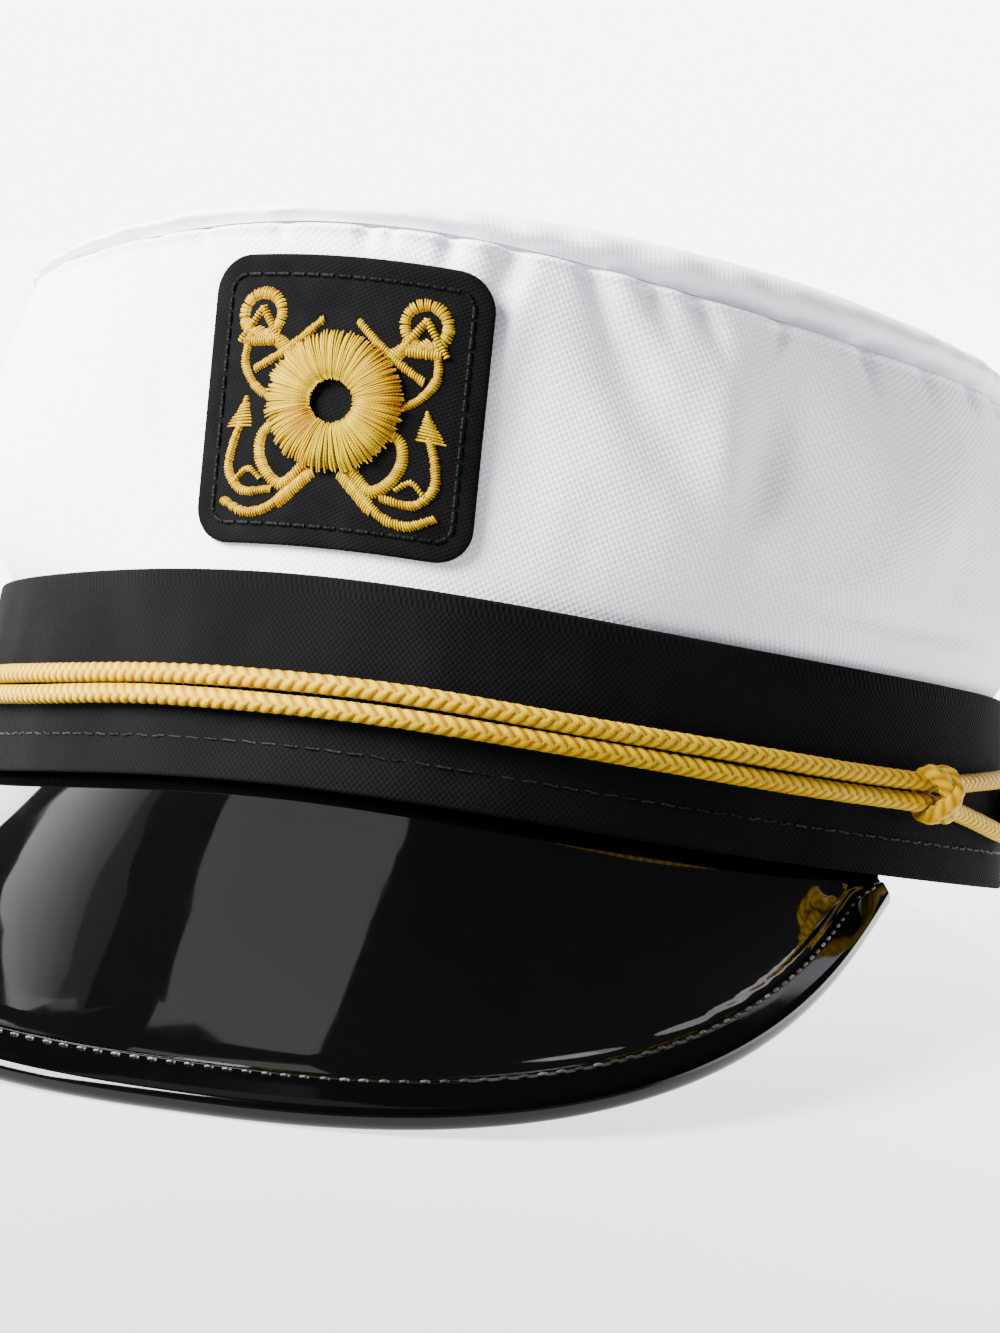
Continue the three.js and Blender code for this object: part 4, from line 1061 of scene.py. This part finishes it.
emblem = {
    "margin": 5, "shift": -0.025, "seed": 91,
    "threadPitch": 0.4, "threadRadius": 0.22, "arch": 0.6, "sunk": 0.12, "jitter": 0.3, "slant": 18,
    # strokes of one anchor's half: width, then points, as shares of the emblem's half size
    "strokes": [
        (0.15, [(-0.79, 0.6), (-0.68, 0.53), (-0.56, 0.55)]),
        (0.15, [(-0.62, 0.56), (-0.5, 0.46), (-0.36, 0.34)]),
        (0.08, [(-0.85, 0.55), (-0.87, 0.3), (-0.76, 0.12), (-0.5, -0.04)]),
        (0.085, [(-0.76, 0.26), (-0.51, 0.41), (-0.33, 0.55), (-0.16, 0.71)]),
        (0.08, [(-0.86, -0.22), (-0.93, -0.45), (-0.94, -0.64), (-0.81, -0.8), (-0.5, -0.79)]),
        (0.12, [(-0.5, -0.2), (-0.62, -0.29), (-0.65, -0.44), (-0.58, -0.62), (-0.43, -0.74), (-0.16, -0.5)]),
        (0.08, [(-0.97, -0.9), (-0.73, -1), (-0.54, -0.96), (-0.36, -0.81), (-0.16, -0.62)]),
        (0.13, [(-0.12, -0.62), (-0.27, -0.75), (-0.43, -0.9)]),
        (0.05, [(-0.88, -0.74), (-0.74, -0.62), (-0.62, -0.7)]),
    ],
    # arrow head: its tip, left and right corners
    "fluke": [(-0.82, 0.02), (-1.0, -0.25), (-0.73, -0.24)],
    "flukeThreads": 11, "flukeArch": 0.5, "flukeBow": 0.35,
    # small ring, and the bars in it: both ends as shares of its radius, and half their width
    "shackle": {"x": -0.74, "y": 0.74, "radius": 0.235, "hole": 0.135, "arch": 0.55, "barArch": 0.75,
                "bars": [((-0.82, -1.0), (0.0, 0.22), 0.6), ((0.82, -1.0), (0.0, 0.22), 0.6),
                         ((-0.6, -1.0), (0.6, -1.0), 0.8)]},
    "ring": {"radius": 0.6, "hole": 0.195, "threads": 300, "rows": 12, "tall": 1.5, "seed": 95,
             "unevenHole": 0.012, "unevenEdge": (-0.02, 0.03), "twist": 0.035, "padding": 0.75,
             "threadRadius": 0.085, "threadWidens": 0.09,
             "shares": [0, 0.12, 0.45, 0.8, 1], "heights": [0.5, 0.85, 1, 0.72, 0.1],
             "bedHeights": [0.4, 0.8, 0.95, 0.66, 0.05]},
}
emblemHalf = badgeHeight / 2 - emblem["margin"]


def smoothLine(points, count):
    # Curve through a few points: each step's cubic has the slope of its neighbours
    points = np.array(points, float)
    length = distances(points)
    at = np.linspace(0, length[-1], count)
    return np.stack([readSmooth(at, length, points[:, k]) for k in range(2)], -1), length[-1]


def satinThreads(starts, ends, rise, draw):
    # Threads laid from start to end over the padding: straight across, and arched up between
    count = len(starts)
    step = np.linspace(0, 1, 6)
    way = ends - starts
    extra = draw.uniform(-0.5, 1, (count, 1)) * emblem["jitter"]
    longer = 1 + extra / np.linalg.norm(way, axis=1, keepdims=True)
    middle = (starts + ends) / 2
    starts, ends = middle - way / 2 * longer, middle + way / 2 * longer
    paths = starts[:, None] + step[:, None] * (ends - starts)[:, None]
    arch = rise * np.sin(np.pi * step) ** 0.6 - emblem["sunk"]
    radius = emblem["threadRadius"] * (0.75 + 0.25 * np.sin(np.pi * step))[None, :, None]
    # painted shade: each thread is darker towards its ends, where it goes into the cloth
    paintedEndShade = 0.6 * np.abs(2 * step - 1)[None, :, None] ** 3  # where the threads go in
    shade = np.clip(0.78 + draw.uniform(-0.45, 0.3, (count, 1, 1)) - paintedEndShade, 0, 1)
    paths[..., 0] += emblem["shift"] * emblemHalf
    return placeThreads(paths, arch, radius, shade)


def strokeThreads(side, width, points, draw):
    # Satin stitch along a stroke: each thread crosses it at a slant, a thread's pitch apart
    scale = np.array([side * emblemHalf, emblemHalf])
    _, length = smoothLine(np.array(points) * scale, 60)
    count = max(int(length / emblem["threadPitch"]), 6)
    line, _ = smoothLine(np.array(points) * scale, count)
    way = unit(np.gradient(line, axis=0))
    slope = math.radians(emblem["slant"]) * side
    square = np.stack([-way[:, 1], way[:, 0]], -1)
    across = square * math.cos(slope) + way * math.sin(slope)
    half = width * emblemHalf / 2 * (0.8 + 0.2 * np.sin(np.pi * np.linspace(0.05, 0.95, count)))[:, None]
    return satinThreads(line - across * half, line + across * half, emblem["arch"], draw)


def flukeThreads(side, draw):
    # Arrow head filled by level threads from its left to its right edge
    tip, left, right = np.array(emblem["fluke"]) * [side * emblemHalf, emblemHalf]
    rows = np.linspace(0.06, 1, emblem["flukeThreads"])[:, None]
    starts, ends = tip + rows * (left - tip), tip + rows * (right - tip)
    bow = emblem["flukeBow"] * np.sin(np.pi * rows) * np.array([0, 1])
    return satinThreads(starts, ends + bow, emblem["flukeArch"], draw)


def shackleThreads(side, draw):
    # Small ring of radial threads, with a block of threads round a three-cornered hole under it
    shackle = emblem["shackle"]
    x, y = side * shackle["x"] * emblemHalf, shackle["y"] * emblemHalf
    outer, inner = shackle["radius"] * emblemHalf, shackle["hole"] * emblemHalf
    count = int(2 * np.pi * (outer + inner) / 2 / emblem["threadPitch"] * 1.1)
    turn = fullTurn(count) + draw.uniform(-0.04, 0.04, count)
    spokes = np.stack([np.cos(turn), np.sin(turn)], -1)
    parts = [satinThreads([x, y] + inner * spokes, [x, y] + outer * spokes, shackle["arch"], draw)]
    for a, b, half in shackle["bars"]:
        start, end = np.array(a) * outer + [x, y], np.array(b) * outer + [x, y]
        line = start + np.linspace(0, 1, 13)[:, None] * (end - start)
        across = unit(np.array([-(end - start)[1], (end - start)[0]])) * half
        parts.append(satinThreads(line - across, line + across, shackle["barArch"], draw))
    return joinParts(parts)


def anchorPart():
    # Both crossed anchors, each the mirror image of the other
    draw = np.random.default_rng(emblem["seed"])
    parts = []
    for side in (1, -1):
        parts += [strokeThreads(side, width, points, draw) for width, points in emblem["strokes"]]
        parts += [flukeThreads(side, draw), shackleThreads(side, draw)]
    return joinParts(parts)


def ringPart():
    # Thick ring: radial threads over a rounded profile, dense at the hole, with uneven outer ends
    ring = emblem["ring"]
    draw = np.random.default_rng(ring["seed"])
    count, rows = ring["threads"], ring["rows"]
    turn = 2 * np.pi * (np.arange(count) + draw.uniform(-0.3, 0.3, count)) / count
    step = np.linspace(0, 1, rows)
    inner = (ring["hole"] + draw.uniform(-ring["unevenHole"], ring["unevenHole"], count)) * emblemHalf
    outer = (ring["radius"] + draw.uniform(*ring["unevenEdge"], count)) * emblemHalf
    reach = inner[:, None] + step * (outer - inner)[:, None]
    twist = turn[:, None] + draw.uniform(-ring["twist"], ring["twist"], (count, 1)) * step
    paths = np.stack([reach * np.cos(twist) + emblem["shift"] * emblemHalf, reach * np.sin(twist)], -1)
    profile = readSmooth(step, ring["shares"], ring["heights"])
    rise = ring["padding"] + (ring["tall"] - 0.1) * profile + draw.uniform(-0.08, 0.08, (count, 1))
    # painted shade in amber where the photograph's ring is deepest: inside at the lower left, outside at the
    # right; and darker towards the outer ends
    amberShadeInLeft = np.exp(-(((turn - 3.9) / 0.75) ** 2))[:, None] * np.exp(-(((step - 0.2) / 0.32) ** 2))
    amberShadeOutRight = np.exp(-((((turn + np.pi / 2) % (2 * np.pi) - 2.0) / 0.75) ** 2))[:, None] * step ** 1.5
    shade = 0.95 - 0.7 * amberShadeInLeft - 0.6 * amberShadeOutRight - 0.25 * step ** 6
    shade = np.clip(shade + draw.uniform(-0.4, 0.1, (count, 1)), 0, 1)
    radius = ring["threadRadius"] + ring["threadWidens"] * step
    radius = (radius * (1 - 0.4 * (step == 1)))[None, :, None]
    return placeThreads(paths, rise, radius, shade[..., None])


def ringBedPart():
    # Padding under the ring's threads: a low rounded ring, so that nothing dark shows between them
    ring = emblem["ring"]
    turn = anglesRound(96)
    step = np.linspace(0, 1, 12)
    reach = (ring["hole"] + 0.012 + step * (ring["radius"] - ring["hole"] - 0.03)) * emblemHalf
    profile = readSmooth(step, ring["shares"], ring["bedHeights"])
    height = np.concatenate([ring["padding"] - 0.15 + (ring["tall"] - 0.15) * profile, [0.35, 0.35]])
    reach = np.concatenate([reach, [reach[-1], reach[0]]])
    x = reach[None] * np.cos(turn)[:, None] + emblem["shift"] * emblemHalf
    y = reach[None] * np.sin(turn)[:, None]
    grid = badgePoint(x, y, badge["thickness"] + height)
    # its shade of 0.35 paints the bed darker than the threads, as painted shade in the gaps between them
    return gridPart(grid, True, True, np.linspace(0, 45, 97), np.linspace(0, 20, len(reach) + 1),
                    np.full(grid.shape[:2], 0.35))


goldThreadFinish = threadFinish("goldThread", goldThread)
putPiece("badgeCloth", badgePart(), twillFinish("badgeFelt", badgeFelt), ["patch"])
putPiece("badgeStitches", badgeStitchPart(), threadFinish("greyThread", greyThread))
putPiece("anchorThreads", anchorPart(), goldThreadFinish, ["emblem_anchors"])
ring = joinParts([ringPart(), ringBedPart()])
putPiece("ringThreads", ring, goldThreadFinish, ["emblem_ring"])


studio = {
    "floorRadius": 1.9, "bend": 0.6, "rimHeight": 0.72, "floorColor": 0.22,
    "glowFront": 0.05, "glowBehind": 6.5, "glowStart": -0.36, "glowEnd": 0.5,
    "world": 0.05,
    # softboxes: distance from the hat, turn from the front to the right, rise, size, power
    "lights": [
        {"name": "keySoftbox", "distance": 1.2, "turn": -50, "rise": 35, "size": 0.7, "power": 165,
         "color": (1, 0.99, 0.98)},
        {"name": "backSoftbox", "distance": 1.4, "turn": -168, "rise": 42, "size": 0.6, "power": 50,
         "color": (1, 0.98, 0.95)},
    ],
    # reflector panels over the hat, each a strip between two lines along which the photograph's
    # visor shows its edges, in the photograph's pixels, with the glow at both
    "panelDistance": 1.5,
    "panels": [
        {"name": "frontPanel", "glow": (0.8, 0.8), "columns": 9,
         "left": [(224, 806), (213, 833), (192, 910), (175, 960), (166, 1000), (147, 1027), (125, 1050)],
         "right": [(408, 829), (396, 855), (382, 890), (370, 923), (353, 970), (337, 1013), (310, 1066)]},
        {"name": "dimPanel", "glow": (0.22, 0.2), "columns": 2,
         "left": [(140, 806), (127, 830), (100, 873), (83, 917), (70, 967), (53, 1000), (47, 1040)],
         "right": [(153, 806), (143, 837), (127, 893), (113, 933), (93, 980), (82, 1013), (87, 1043)]},
        {"name": "leftPanel", "glow": (1.6, 0.4), "columns": 5,
         "left": [(52, 803), (44, 816), (33, 833), (17, 862), (4, 885), (4, 930), (4, 975), (4, 1020)],
         "right": [(140, 806), (127, 830), (100, 873), (83, 917), (70, 967), (60, 990), (53, 1010),
                   (47, 1040)]},
    ],
}


def addStage(name, points, faces, finish):
    # Mesh that belongs to the studio and not to the hat
    mesh = bpy.data.meshes.new(name)
    mesh.from_pydata([tuple(point) for point in points], [], [tuple(face) for face in faces])
    mesh.polygons.foreach_set("use_smooth", np.ones(len(faces), bool))
    mesh.materials.append(finish)
    thing = addObject(name, mesh)
    return thing


def addFloor():
    # Flat round floor whose rim bends up all round. It glows a little, and more behind the hat.
    flat, bend = studio["floorRadius"], studio["bend"]
    turn = np.radians(np.linspace(0, 90, 12))
    radius = np.concatenate([[0, 0.5, 1.2], flat + bend * np.sin(turn), [flat + bend]])
    height = np.concatenate([[0, 0, 0], bend - bend * np.cos(turn), [studio["rimHeight"]]])
    spin = fullTurn(96)
    x, y = radius[:, None] * np.cos(spin), radius[:, None] * np.sin(spin)
    grid = np.stack([x, y, height[:, None] + 0 * spin], -1)
    part = gridPart(grid, False, True, 0 * np.append(radius, 0), np.zeros(97))
    pale = (*grey(studio["floorColor"]), 1)
    made, tree, shader = newFinish("paleFloor", {"Base Color": pale, "Roughness": 0.9,
                                                 "Specular IOR Level": 0.1, "Emission Color": (1, 1, 1, 1)})
    place = addNode(tree, "ShaderNodeTexCoord")
    backwards = addNode(tree, "ShaderNodeSeparateXYZ", {0: place.outputs["Object"]}).outputs["Y"]
    glow = rangeOf(tree, backwards, studio["glowStart"], studio["glowEnd"], studio["glowFront"],
                   studio["glowBehind"])
    tree.links.new(glow, shader.inputs["Emission Strength"])
    addStage("studioFloor", part["points"], part["faces"][0][0][:, ::-1], made)


def mirrored(place, visorTree, mesh):
    # Point at the panels' distance that a pixel of the photograph shows in the visor's gloss: the
    # ray d from the camera leaves the surface along d - 2 (d n) n
    matrix = bpy.context.scene.camera.matrix_world
    focus = camera["lens"] / camera["sensor"] * camera["tall"]
    across, up = place[0] - camera["wide"] / 2, camera["tall"] / 2 - place[1]
    ray = (matrix.to_3x3() @ Vector((across / focus, up / focus, -1))).normalized()
    hit, _, index, _ = visorTree.ray_cast(matrix.translation, ray)
    corners = mesh.polygons[index].vertices
    weights = poly_3d_calc([mesh.vertices[i].co for i in corners], hit)
    normal = sum((weight * mesh.vertices[i].normal for weight, i in zip(weights, corners)), Vector())
    normal.normalize()
    leaving = ray - 2 * ray.dot(normal) * normal
    return hit + studio["panelDistance"] * leaving


def addPanel(panel, visorTree, mesh):
    # Glowing strip over the hat, hidden from the camera itself. One more row, as far past the
    # first one as the second lies before it, carries it over the visor's root.
    shares = np.linspace(0, 1, panel["columns"])
    left, right = np.array(panel["left"], float), np.array(panel["right"], float)
    places = [left + share * (right - left) for share in shares]
    grid = np.array([[mirrored(place, visorTree, mesh) for place in column] for column in places])
    points = np.concatenate([2 * grid[:, :1] - grid[:, 1:2], grid], 1).reshape(-1, 3)
    count = len(left) + 1
    faces = [(k, k + 1, count + k + 1, count + k) for k in range(len(points) - count) if (k + 1) % count]
    made, tree, shader = newFinish(panel["name"], {"Base Color": (0, 0, 0, 1), "Specular IOR Level": 0,
                                                   "Emission Color": (1, 0.99, 0.96, 1)})
    glow = addNode(tree, "ShaderNodeAttribute", attribute_name="glow")
    tree.links.new(glow.outputs["Fac"], shader.inputs["Emission Strength"])
    thing = addStage(panel["name"], points, faces, made)
    levels = thing.data.attributes.new("glow", "FLOAT", "POINT")
    glows = panel["glow"][0] + shares * (panel["glow"][1] - panel["glow"][0])
    levels.data.foreach_set("value", np.repeat(glows, count).astype(np.float32))
    thing.visible_camera = False


def addLight(light):
    # Square softbox that looks at the hat
    way = wayTo(light["turn"], light["rise"])
    data = bpy.data.lights.new(light["name"], "AREA")
    data.size, data.energy, data.color = light["size"], light["power"], light["color"]
    lamp = addObject(light["name"], data)
    lamp.matrix_world = (Matrix.Translation(Vector((0, 0, 0.06)) + light["distance"] * way)
                         @ (-way).to_track_quat("-Z", "Y").to_matrix().to_4x4())
    lamp.visible_camera = False


addFloor()
visorMesh = visorBoard.data
visorFaces = [tuple(face.vertices) for face in visorMesh.polygons]
visorTree = BVHTree.FromPolygons([vertex.co for vertex in visorMesh.vertices], visorFaces)
for panel in studio["panels"]:
    addPanel(panel, visorTree, visorMesh)
for light in studio["lights"]:
    addLight(light)
world = bpy.data.worlds.new("studioWorld")
world.use_nodes = True
sky = world.node_tree.nodes["Background"]
sky.inputs["Color"].default_value = (1, 1, 1, 1)
sky.inputs["Strength"].default_value = studio["world"]
bpy.context.scene.world = world
print("studio lit")
